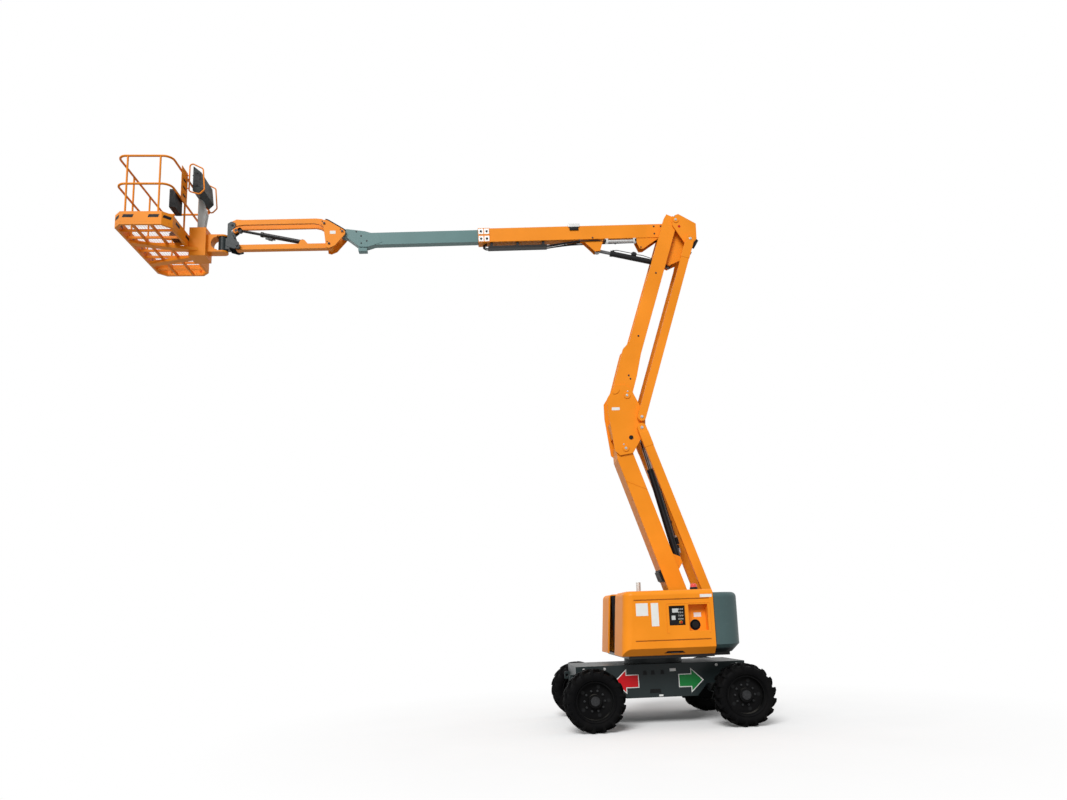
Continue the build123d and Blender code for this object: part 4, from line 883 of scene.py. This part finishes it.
def make_beacon():
    """Low red dome on a wide black foot."""
    low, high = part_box("beacon")
    centre = (low + high) / 2
    place = Matrix.Translation((centre.x, centre.y, low.z))
    foot_radius = (high.x - low.x) / 2
    dome_radius = foot_radius * 0.90
    shoulder_radius = dome_radius * 0.93
    foot = bmesh.new()
    add_stud(foot, place, 0.0, FOOT_RIM, foot_radius, BEACON_SIDES)
    add_stud(foot, place, FOOT_RIM, BEACON_FOOT, foot_radius, BEACON_SIDES, dome_radius)
    piece(foot, "beacon_foot", "plastic", "hood_left", smooth=35)
    dome = bmesh.new()
    add_stud(dome, place, DOME_FOOT, DOME_SHOULDER, dome_radius, BEACON_SIDES, shoulder_radius)
    rise = DOME_CROWN - DOME_SHOULDER
    for step in range(DOME_STEPS):
        first = pi / 2 * step / DOME_STEPS
        second = pi / 2 * (step + 1) / DOME_STEPS
        add_stud(dome, place, DOME_SHOULDER + rise * sin(first), DOME_SHOULDER + rise * sin(second),
                 shoulder_radius * cos(first), BEACON_SIDES, max(0.001, shoulder_radius * cos(second)))
    made = piece(dome, "beacon_dome", "beacon", "hood_left", smooth=50)
    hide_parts("beacon")


# Folding arms, knee and head

SLEEVE_PROUD = 0.004
LINK_INNER = 0.2145
LOWER_LINK_DEPTH = 0.140
UPPER_LINK_DEPTH = 0.132
PIN_END = 0.010


def add_pin_bolts(shape, pin, side, offset):
    """The bolt through a pin's end and the small one of its keeper, on a plate of the knee or the head."""
    add_bolt(shape, side_place(pin.x, pin.z, side * (KNEE_FACE + PIN_END)), 0.014, 0.012)
    add_bolt(shape, side_place(pin.x + offset[0], pin.z + offset[1], side * KNEE_FACE), 0.009, 0.012)


def add_link_bolt(shape, pin, side):
    """The bolt on the end of a link's pin."""
    add_bolt(shape, side_place(pin.x, pin.z, side * LINK_FACE), 0.016, 0.014)


def add_sleeve(shape, link, start, end, depth, side):
    """The thicker end of a link, open where it meets the plates."""
    middle = side * (LINK_INNER + LINK_FACE + SLEEVE_PROUD) / 2
    wide = LINK_FACE + SLEEVE_PROUD - LINK_INNER
    add_block(shape, link.at((start + end) / 2, 0, middle), (end - start, wide, depth + 2 * SLEEVE_PROUD),
              link.frame())


def make_arm_fittings():
    """Thicker ends of the links, the bolts on the upper arms, and the rest pad and seams of the lower arm."""
    lower_length = LOWER_WAY.length
    upper_length = UPPER_WAY.length
    for side_name, side in SIDES:
        sleeve = bmesh.new()
        add_sleeve(sleeve, LOWER_LINK, lower_length - 0.315, lower_length - 0.075, LOWER_LINK_DEPTH, side)
        add_sleeve(sleeve, LOWER_LINK, 0.075, 0.300, LOWER_LINK_DEPTH, side)
        piece(sleeve, f"lower_link_sleeve_{side_name}", "orange", "lower_links", bevel=0.003)
        sleeve = bmesh.new()
        add_sleeve(sleeve, UPPER_LINK, upper_length - 0.346, upper_length - 0.072, UPPER_LINK_DEPTH, side)
        piece(sleeve, f"upper_link_sleeve_{side_name}", "orange", "upper_links", bevel=0.003)
        bolts = bmesh.new()
        for fore, up in ((0.335, -0.055), (0.290, -0.015), (1.02, -0.075), (2.15, -0.075)):
            add_bolt(bolts, UPPER_ARM.side(side * ARM_FACE, fore, up), 0.010, 0.012)
        piece(bolts, f"upper_arm_bolts_{side_name}", "dark_steel", "upper_arms")
    pads = member_blocks(LOWER_ARM, [((1.005, -0.203, 0), (0.150, 0.300, 0.034)),
                                     ((1.005, -0.192, 0), (0.190, 0.340, 0.014))])
    piece(pads, "arm_rest_pad", "plastic", "lower_arm", bevel=0.006)
    seams = bmesh.new()
    for y in (ARM_FACE, -ARM_FACE):
        path = [LOWER_ARM.at(fore, up, y) for fore, up in ((2.56, -0.180), (2.40, 0.0), (2.33, 0.080))]
        add_tube(seams, path, 0.004, 6)
    piece(seams, "arm_seams", "orange", "lower_arm", smooth=60)


def make_knee_fittings():
    """Black disc as painted shade of a hole, boss, blank film and pin bolts on the knee's side plates, and
    the bolts of the link pins.
    """
    low, high = PIN["knee_level"], PIN["upper_arm_turn"]
    oval = [(0.062 * cos(2 * pi * k / 40), 0.036 * sin(2 * pi * k / 40)) for k in range(40)]
    for side_name, side in SIDES:
        face = side * KNEE_FACE
        # Black disc: painted shade of a hole
        hole = bmesh.new()
        spot = side_place(low.x - 0.094, low.z + 0.169, face)
        add_stud(hole, spot, -0.004, 0.001, 0.036, 36)
        piece(hole, f"knee_hole_shade_{side_name}", "plastic", "knee")
        rim = bmesh.new()
        add_ring(rim, spot, 0.037, 0.0025)
        add_plate(rim, oval, side_place(high.x + 0.170, high.z + 0.070, face, radians(35)), 0.009)
        piece(rim, f"knee_boss_{side_name}", "orange", "knee", bevel=0.003, smooth=40)
        plate_piece(f"knee_film_{side_name}", "label", "knee", rectangle(0.125, 0.046),
                    side_place(high.x + 0.190, high.z - 0.215, face))
        bolts = bmesh.new()
        add_pin_bolts(bolts, low, side, (0.030, 0.062))
        add_pin_bolts(bolts, high, side, (-0.015, 0.066))
        add_link_bolt(bolts, LOWER_LINK.at(LOWER_WAY.length, 0, 0), side)
        add_link_bolt(bolts, PIN["upper_link_turn"], side)
        piece(bolts, f"knee_bolts_{side_name}", "steel", "knee")


BUMPER = [(-0.322, -0.350), (-0.355, -0.378), (-0.268, -0.522), (-0.222, -0.498), (-0.296, -0.380)]


def make_head_fittings():
    """Plug, pin bolts and bumper of the head."""
    pin = PIN["head_level"]
    for side_name, side in SIDES:
        face = side * KNEE_FACE
        plug = bmesh.new()
        add_stud(plug, side_place(pin.x - 0.052, pin.z - 0.120, face), -0.004, 0.0015, 0.022, 28)
        piece(plug, f"head_plug_{side_name}", "signal_red", "head")
        bolts = bmesh.new()
        add_pin_bolts(bolts, pin, side, (0.020, 0.062))
        add_link_bolt(bolts, UPPER_LINK.at(UPPER_WAY.length, 0, 0), side)
        piece(bolts, f"head_bolts_{side_name}", "steel", "head")
        bumper = bmesh.new()
        add_plate(bumper, BUMPER, SIDE_VIEW.side(face, pin.x, pin.z), 0.014)
        piece(bumper, f"head_bumper_{side_name}", "plastic", "head", bevel=0.003)


# Boom, its hoses and the cylinders

PAD_PLATE = 0.004
LAMP_FORE = 1.800
BRACKET_SIDE = 0.062
BRACKET_PLATE = 0.011
LEVELLING_BRACKET = [(0.375, -0.116), (0.785, -0.116), (0.785, -0.160), (0.725, -0.308), (0.660, -0.305)]
ROOT_BOLTS = ((0.345, 0.078), (0.462, 0.078), (0.345, -0.058), (0.462, -0.052), (1.50, -0.095))
HOSE_RADIUS = 0.010


def make_boom_fittings():
    """Wear-pad plates at the boom's mouth, its bolts, the levelling cylinder's bracket and the lamp."""
    for side_name, side in SIDES:
        pads = bmesh.new()
        bolts = bmesh.new()
        for fore in (3.244, 3.338):
            for up in (-0.064, 0.064):
                add_plate(pads, rectangle(0.082, 0.096), BOOM.side(side * COLLAR_FACE, fore, up), PAD_PLATE)
                add_bolt(bolts, BOOM.side(side * (COLLAR_FACE + PAD_PLATE), fore, up), 0.015, 0.013, 1.35)
        piece(pads, f"wear_pad_plates_{side_name}", "steel", "boom", bevel=0.0015)
        for fore, up in ROOT_BOLTS:
            add_bolt(bolts, BOOM.side(side * BOOM_FACE, fore, up), 0.010, 0.011)
        add_bolt(bolts, BOOM.side(side * (BRACKET_SIDE + BRACKET_PLATE), 0.705, -0.280), 0.009, 0.010)
        piece(bolts, f"boom_bolts_{side_name}", "dark_steel", "boom")
        gusset = bmesh.new()
        add_plate(gusset, LEVELLING_BRACKET, BOOM.side(side * BRACKET_SIDE), BRACKET_PLATE)
        piece(gusset, f"levelling_bracket_{side_name}", "orange", "boom", bevel=0.002)
    lamp = member_blocks(BOOM, [((LAMP_FORE, 0.072, 0.089), (0.150, 0.018, 0.056))])
    piece(lamp, "boom_lamp_housing", "plastic", "boom", bevel=0.006)
    cover = member_blocks(BOOM, [((LAMP_FORE, 0.139, 0.049), (0.190, 0.098, 0.034)),
                                 ((LAMP_FORE, 0.115, 0.0895), (0.190, 0.017, 0.034))])
    piece(cover, "boom_lamp_cover", "steel", "boom", bevel=0.006)
    mouth = member_blocks(BOOM, [((3.383, up, 0), (0.010, 0.126, 0.009)) for up in (0.1125, -0.1125)])
    piece(mouth, "boom_wear_strips", "plastic", "boom", bevel=0.001)


def add_hose(shape, member, runs, radius, bend=0.05):
    """A hose or pipe along a member, through these places on it."""
    add_tube(shape, rounded_path([member.at(*point) for point in runs], bend), radius)


def make_boom_hoses():
    """Hoses clipped below the boom: out of the tray, past the lift ears, and back to the root."""
    hoses = bmesh.new()
    for y in (-0.030, 0.024):
        runs = [(2.275, -0.205), (2.18, -0.196), (1.95, -0.158), (1.76, -0.136), (1.70, -0.127)]
        add_hose(hoses, BOOM, [(fore, up, y) for fore, up in runs], HOSE_RADIUS, 0.12)
        loop = [(3.15, -0.205), (3.27, -0.208), (3.32, -0.165), (3.25, -0.132)]
        add_hose(hoses, BOOM, [(fore, up, y) for fore, up in loop], HOSE_RADIUS, 0.07)
    near = [(2.275, -0.202, 0.048), (2.16, -0.185, 0.052), (1.80, -0.146, 0.072), (1.42, -0.140, 0.072),
            (1.36, -0.148, 0.060), (1.29, -0.156, 0.050)]
    add_hose(hoses, BOOM, near, 0.009, 0.10)
    back = [(0.78, -0.156, 0.050), (0.72, -0.150, 0.052), (0.62, -0.131, 0.052), (0.24, -0.130, 0.052)]
    add_hose(hoses, BOOM, back, HOSE_RADIUS, 0.06)
    far = [(2.275, -0.202, -0.048), (2.16, -0.180, -0.056), (1.86, -0.140, -0.072), (1.30, -0.131, -0.072),
           (0.24, -0.131, -0.050)]
    add_hose(hoses, BOOM, far, HOSE_RADIUS, 0.12)
    piece(hoses, "boom_hoses", "hose", "boom", smooth=50)
    spots = ((1.72, 0.066), (1.95, -0.066), (1.10, -0.066), (0.52, 0.052), (0.32, 0.052), (0.52, -0.056))
    clips = member_blocks(BOOM, [((fore, -0.131, y), (0.022, 0.030, 0.030)) for fore, y in spots])
    piece(clips, "boom_hose_clips", "dark_steel", "boom", bevel=0.002)
    ends = member_blocks(BOOM, [((fore, -0.156, 0.050), (0.030, 0.060, 0.060)) for fore in (0.785, 1.288)])
    piece(ends, "levelling_cylinder_ends", "black", "boom", bevel=0.004)


def make_cylinder_fittings():
    """Holding valves on the cylinders, with the pipes that lie along their barrels."""
    valve = member_blocks(LIFT_CYLINDER, [((0.600, 0.066, 0), (0.085, 0.062, 0.046)),
                                          ((0.600, 0.092, 0.010), (0.050, 0.036, 0.020)),
                                          ((0.945, 0.050, 0), (0.036, 0.036, 0.026))])
    piece(valve, "lift_valve", "black", "lift_barrel", bevel=0.003)
    pipes = bmesh.new()
    upper = [(0.945, 0.060, 0.0), (0.90, 0.080, 0.0), (0.72, 0.076, 0.010), (0.63, 0.076, 0.010)]
    lower = [(0.565, 0.080, -0.012), (0.46, 0.090, -0.012), (0.26, 0.060, -0.010), (0.16, 0.040, 0.0)]
    add_hose(pipes, LIFT_CYLINDER, upper, 0.006)
    add_hose(pipes, LIFT_CYLINDER, lower, 0.006)
    piece(pipes, "lift_valve_pipes", "hose", "lift_barrel", smooth=50)
    valve = member_blocks(ARM_CYLINDER, [((0.300, 0.074, 0.0), (0.110, 0.070, 0.040)),
                                         ((0.210, 0.066, 0.0), (0.050, 0.050, 0.026))])
    piece(valve, "arm_valve", "black", "arm_barrel", bevel=0.004)
    unions = bmesh.new()
    for start, end, up, radius, sides in ((0.150, 0.190, 0.070, 0.013, 6), (0.110, 0.150, 0.070, 0.009, 16),
                                          (0.360, 0.385, 0.072, 0.012, 6)):
        add_bar(unions, ARM_CYLINDER.at(start, up, 0), ARM_CYLINDER.at(end, up, 0), radius, sides)
    piece(unions, "arm_valve_unions", "steel", "arm_barrel", smooth=30)
    pipes = bmesh.new()
    along = [(0.375, 0.072, 0.0), (0.44, 0.067, 0.0), (1.34, 0.067, 0.0), (1.42, 0.060, 0.0)]
    add_hose(pipes, ARM_CYLINDER, along, 0.007)
    piece(pipes, "arm_valve_pipes", "hose", "arm_barrel", smooth=50)
    valve = member_blocks(JIB_CYLINDER, [((0.520, -0.052, 0.0), (0.070, 0.044, 0.036))])
    for start, end, up, radius in ((0.555, 0.600, -0.055, 0.012), (0.440, 0.485, -0.050, 0.010)):
        add_bar(valve, JIB_CYLINDER.at(start, up, 0), JIB_CYLINDER.at(end, up, 0), radius, 12)
    piece(valve, "jib_valve", "black", "jib_barrel", bevel=0.003)


# Jib and platform

BRACKET_PIN_END = 0.008
NOSE_FACE = 0.064
GUARD_OUT = 0.114


def add_bracket_bolt(shape, pin, side):
    """The bolt on the end of a pin of the jib."""
    add_bolt(shape, side_place(pin.x, pin.z, side * (BRACKET_FACE + BRACKET_PIN_END)), 0.013, 0.010)


def make_jib_fittings():
    """Blank film, edge guards and pin bolts of the jib's bracket, and the bolts of its head and the nose."""
    nose, high = PIN["bracket_level"], PIN["jib_raise"]
    low, head = PIN["jib_lower_turn"], PIN["jib_head_level"]
    guards = bmesh.new()
    edge = [(high.x - 0.020, high.z + 0.070), (high.x - 0.052, high.z + 0.064),
            (high.x - 0.120, high.z + 0.020), (nose.x - 0.030, nose.z + 0.034),
            (nose.x - 0.050, nose.z + 0.008)]
    for side_name, side in SIDES:
        plate_piece(f"bracket_film_{side_name}", "label", "jib_bracket",
                    rectangle(0.090, 0.055), side_place(nose.x + 0.152, nose.z - 0.018, side * BRACKET_FACE))
        bolts = bmesh.new()
        for pin in (nose, high, low):
            add_bracket_bolt(bolts, pin, side)
            add_bolt(bolts, side_place(pin.x + 0.030, pin.z + 0.034, side * BRACKET_FACE), 0.007, 0.008)
        piece(bolts, f"bracket_bolts_{side_name}", "dark_steel", "jib_bracket")
        bolts = bmesh.new()
        for pin in (head, head + low - high):
            add_bracket_bolt(bolts, pin, side)
        piece(bolts, f"jib_head_bolts_{side_name}", "dark_steel", "jib_head")
        bolts = bmesh.new()
        for fore, up in ((-0.290, -0.060), (-0.215, 0.018), (-0.380, -0.150), (-0.290, -0.185)):
            spot = nose + BOOM.way * fore + BOOM.square * up
            add_bolt(bolts, side_place(spot.x, spot.z, side * NOSE_FACE), 0.009, 0.010)
        piece(bolts, f"nose_bolts_{side_name}", "dark_steel", "boom_inner")
        add_tube(guards, rounded_path([(x, side * GUARD_OUT, z) for x, z in edge], 0.05), 0.012)
    piece(guards, "bracket_edge_guards", "hose", "jib_bracket", smooth=50)


MESH_PITCH = 0.040
MESH_WIRE = 0.0022
MESH_MARGIN = 0.038
MESH_DOWN = 0.003


def make_floor_mesh():
    """Wire mesh that lies in the platform's floor frame."""
    low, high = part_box("platform_floor")
    middle = (low + high) / 2
    height = high.z - MESH_DOWN
    length = high.x - low.x - 2 * MESH_MARGIN
    width = high.y - low.y - 2 * MESH_MARGIN
    mesh = bmesh.new()
    for k in range(int(length / MESH_PITCH) + 1):
        x = low.x + MESH_MARGIN + k * MESH_PITCH
        add_block(mesh, Vector((x, middle.y, height)), (MESH_WIRE, width, MESH_WIRE))
    for k in range(int(width / MESH_PITCH) + 1):
        y = low.y + MESH_MARGIN + k * MESH_PITCH
        add_block(mesh, Vector((middle.x, y, height - MESH_WIRE / 2)), (length, MESH_WIRE, MESH_WIRE))
    piece(mesh, "floor_mesh", "orange", "platform")


TOE_SLOT_RISE = 0.092
TOE_SLOT = [(-0.085, -0.024), (0.065, -0.024), (0.085, 0.024), (-0.065, 0.024)]
TOE_CORNER = 0.060
CORNER_SHARE = 0.8


def make_toe_slots():
    """Black slanted sheets as painted shade in the slots of the toe boards and on their cut corners."""
    low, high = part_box("toe_boards")
    middle = (low + high) / 2
    length, width = high.x - low.x, high.y - low.y
    places = []
    for side in (-1, 1):
        for x in (-0.22, 0.22):
            places.append((middle.x + x * length, side * width / 2, side * 90))
        for y in (-0.33, -0.11, 0.11, 0.33):
            places.append((middle.x + side * length / 2, y * width, 0 if side > 0 else 180))
        for end in (-1, 1):
            places.append((middle.x + end * (length / 2 - TOE_CORNER), side * (width / 2 - TOE_CORNER),
                           side * (45 if end > 0 else 135)))
    # Painted shade: black sheets in the slots
    slot_shade_sheets = bmesh.new()
    up = Vector((0, 0, 1))
    for x, y, way in places:
        out = Vector((cos(radians(way)), sin(radians(way)), 0))
        turned = Matrix((up.cross(out), up, out)).transposed().to_4x4()
        spot = Vector((x, y, low.z + TOE_SLOT_RISE)) - out * 0.004
        share = CORNER_SHARE if way % 90 else 1.0
        add_plate(slot_shade_sheets, [(u * share, v) for u, v in TOE_SLOT], Matrix.Translation(spot) @ turned, 0.0055)
    piece(slot_shade_sheets, "toe_slot_shade", "plastic", "platform")


CONSOLE_END = 0.260
PANEL_MIDDLE = 0.408


def make_console():
    """Joysticks, switches, stop button and end plates of the platform's console."""
    low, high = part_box("control_console")
    face = high.x
    sticks = bmesh.new()
    for y in (-0.150, 0.150):
        spot = Vector((face, y, high.z - 0.110))
        add_bar(sticks, spot - Vector((0.001, 0, 0)), spot + Vector((0.014, 0, 0)), 0.030, 24, 0.016)
        add_bar(sticks, spot + Vector((0.010, 0, 0)), spot + Vector((0.046, 0, 0.012)), 0.010, 14)
    piece(sticks, "console_joysticks", "plastic", "platform", smooth=35)
    knobs = bmesh.new()
    for row in range(2):
        for column in range(8):
            spot = Vector((face, -0.200 + column * 0.057, high.z - 0.190 - row * 0.055))
            add_bar(knobs, spot - Vector((0.001, 0, 0)), spot + Vector((0.007, 0, 0)), 0.010, 16)
            add_bar(knobs, spot, spot + Vector((0.026, 0, 0.008)), 0.004, 10)
    piece(knobs, "console_switches", "steel", "platform", smooth=30)
    stop = bmesh.new()
    spot = Vector((face, 0, high.z - 0.105))
    add_bar(stop, spot - Vector((0.001, 0, 0)), spot + Vector((0.020, 0, 0)), 0.010, 16)
    add_bar(stop, spot + Vector((0.018, 0, 0)), spot + Vector((0.032, 0, 0)), 0.022, STOP_SIDES, 0.018)
    piece(stop, "console_stop", "signal_red", "platform", smooth=30)
    cheeks = bmesh.new()
    middle = (low + high) / 2
    for y in (CONSOLE_END, -CONSOLE_END):
        place = side_place(middle.x + 0.010, middle.z, y)
        add_plate(cheeks, rectangle(0.090, 0.250), place, 0.003)
        for up in (-0.105, 0.105):
            add_bolt(cheeks, place @ Matrix.Translation((0, up, 0.003)), 0.006, 0.006)
    piece(cheeks, "console_end_plates", "plastic", "platform", bevel=0.001)


def make_platform_fittings():
    """Floor mesh, toe slots, the console's fittings and black sheets as painted shade of the slots in the
    rear panels.
    """
    make_floor_mesh()
    make_toe_slots()
    make_console()
    # Painted shade: thin black sheets where the rear panels have slots
    slots = bmesh.new()
    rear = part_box("platform_top_rail")[0].x
    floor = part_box("platform_floor")[1].z
    for y in (PANEL_MIDDLE, -PANEL_MIDDLE):
        for rise in (0.700, 0.830, 0.960):
            add_block(slots, Vector((rear - 0.0075, y, floor + rise)), (0.0022, 0.110, 0.034))
    piece(slots, "rear_panel_slot_shade", "plastic", "platform")


dress_nodes()
make_wheels()
make_arrows()
make_base_fittings()
make_labels()
make_ground_controls()
make_hood_fittings()
make_beacon()
make_arm_fittings()
make_knee_fittings()
make_head_fittings()
make_boom_fittings()
make_boom_hoses()
make_cylinder_fittings()
make_jib_fittings()
make_platform_fittings()


# Stage, light and camera

CAMERA_PLACE = Vector((2.5009, 12.212, 1.5783))
CAMERA_YAW = 0.0643
CAMERA_PITCH = 0.1723
CAMERA_ROLL = -0.036
PHOTO_WIDTH = 1067
FOCAL_PIXELS = 792.67
AXIS_BELOW_MIDDLE = 80
SENSOR = 36.0


def make_camera():
    """The photograph's camera, fitted to the wheels and pins."""
    ahead = cos(CAMERA_PITCH)
    forward = Vector((-sin(CAMERA_YAW) * ahead, -cos(CAMERA_YAW) * ahead, sin(CAMERA_PITCH)))
    level = Vector((-cos(CAMERA_YAW), sin(CAMERA_YAW), 0))
    upright = level.cross(forward)
    right = level * cos(CAMERA_ROLL) + upright * sin(CAMERA_ROLL)
    up = upright * cos(CAMERA_ROLL) - level * sin(CAMERA_ROLL)
    camera = bpy.data.cameras.new("camera")
    camera.sensor_fit = "HORIZONTAL"
    camera.sensor_width = SENSOR
    camera.lens = SENSOR * FOCAL_PIXELS / PHOTO_WIDTH
    camera.shift_y = AXIS_BELOW_MIDDLE / PHOTO_WIDTH
    camera.clip_end = 300
    made = bpy.data.objects.new("camera", camera)
    bpy.context.scene.collection.objects.link(made)
    made.matrix_world = Matrix.Translation(CAMERA_PLACE) @ Matrix((right, up, -forward)).transposed().to_4x4()
    bpy.context.scene.camera = made


FLOOR_BOUNCE = (0.34, 0.34, 0.34, 1)
FLOOR_RADIUS = 90
FADE_START = 1.0
FADE_END = 6.5


def make_floor():
    """Pale floor that fades to white away from the machine."""
    shape = bmesh.new()
    bmesh.ops.create_circle(shape, cap_ends=True, segments=96, radius=FLOOR_RADIUS)
    mesh = bpy.data.meshes.new("floor")
    shape.to_mesh(mesh)
    shape.free()
    floor = bpy.data.objects.new("floor", mesh)
    bpy.context.scene.collection.objects.link(floor)
    finish = Finish("pale_floor")
    distance = finish.node("ShaderNodeVectorMath", {"operation": "LENGTH"}, {0: finish.place}, "Value")
    away = finish.ramp(distance, FADE_START, FADE_END)
    grain = finish.ramp(finish.noise(0.8, 4.0), 0.3, 0.7)
    seen = finish.mix(grain, (0.96, 0.96, 0.96, 1), (0.99, 0.99, 0.99, 1))
    camera = finish.node("ShaderNodeLightPath", {}, {}, "Is Camera Ray")
    shade = finish.mix(camera, FLOOR_BOUNCE, seen)
    pale = finish.node("ShaderNodeBsdfDiffuse", {}, {"Color": shade})
    white = finish.node("ShaderNodeEmission", {}, {"Color": (1, 1, 1, 1), "Strength": 1.0})
    shader = finish.node("ShaderNodeMixShader", {}, {0: away * finish.seen_directly(), 1: pale, 2: white})
    finish.node("ShaderNodeOutputMaterial", {}, {"Surface": shader})
    mesh.materials.append(finish.material)


WORLD_STRENGTH = 0.42
KEY_STRENGTH = 2.6
KEY_SPREAD = 28.0
KEY_WAY = Vector((-0.35, -0.90, -0.80))


def make_light():
    """A broad soft key from above the camera's left shoulder, and an even surround."""
    world = bpy.data.worlds.new("surround")
    bpy.context.scene.world = world
    graph = Graph(world)
    strength = graph.node("ShaderNodeMapRange", {}, {0: graph.seen_directly(), 3: WORLD_STRENGTH, 4: 1.0})
    shader = graph.node("ShaderNodeBackground", {}, {"Color": (1, 1, 1, 1), "Strength": strength})
    graph.node("ShaderNodeOutputWorld", {}, {"Surface": shader})
    key = bpy.data.lights.new("key", "SUN")
    key.energy = KEY_STRENGTH
    key.angle = radians(KEY_SPREAD)
    lamp = bpy.data.objects.new("key", key)
    bpy.context.scene.collection.objects.link(lamp)
    lamp.rotation_euler = KEY_WAY.to_track_quat("-Z", "Y").to_euler()
    bpy.context.scene.view_settings.view_transform = "Standard"


make_camera()
make_floor()
make_light()
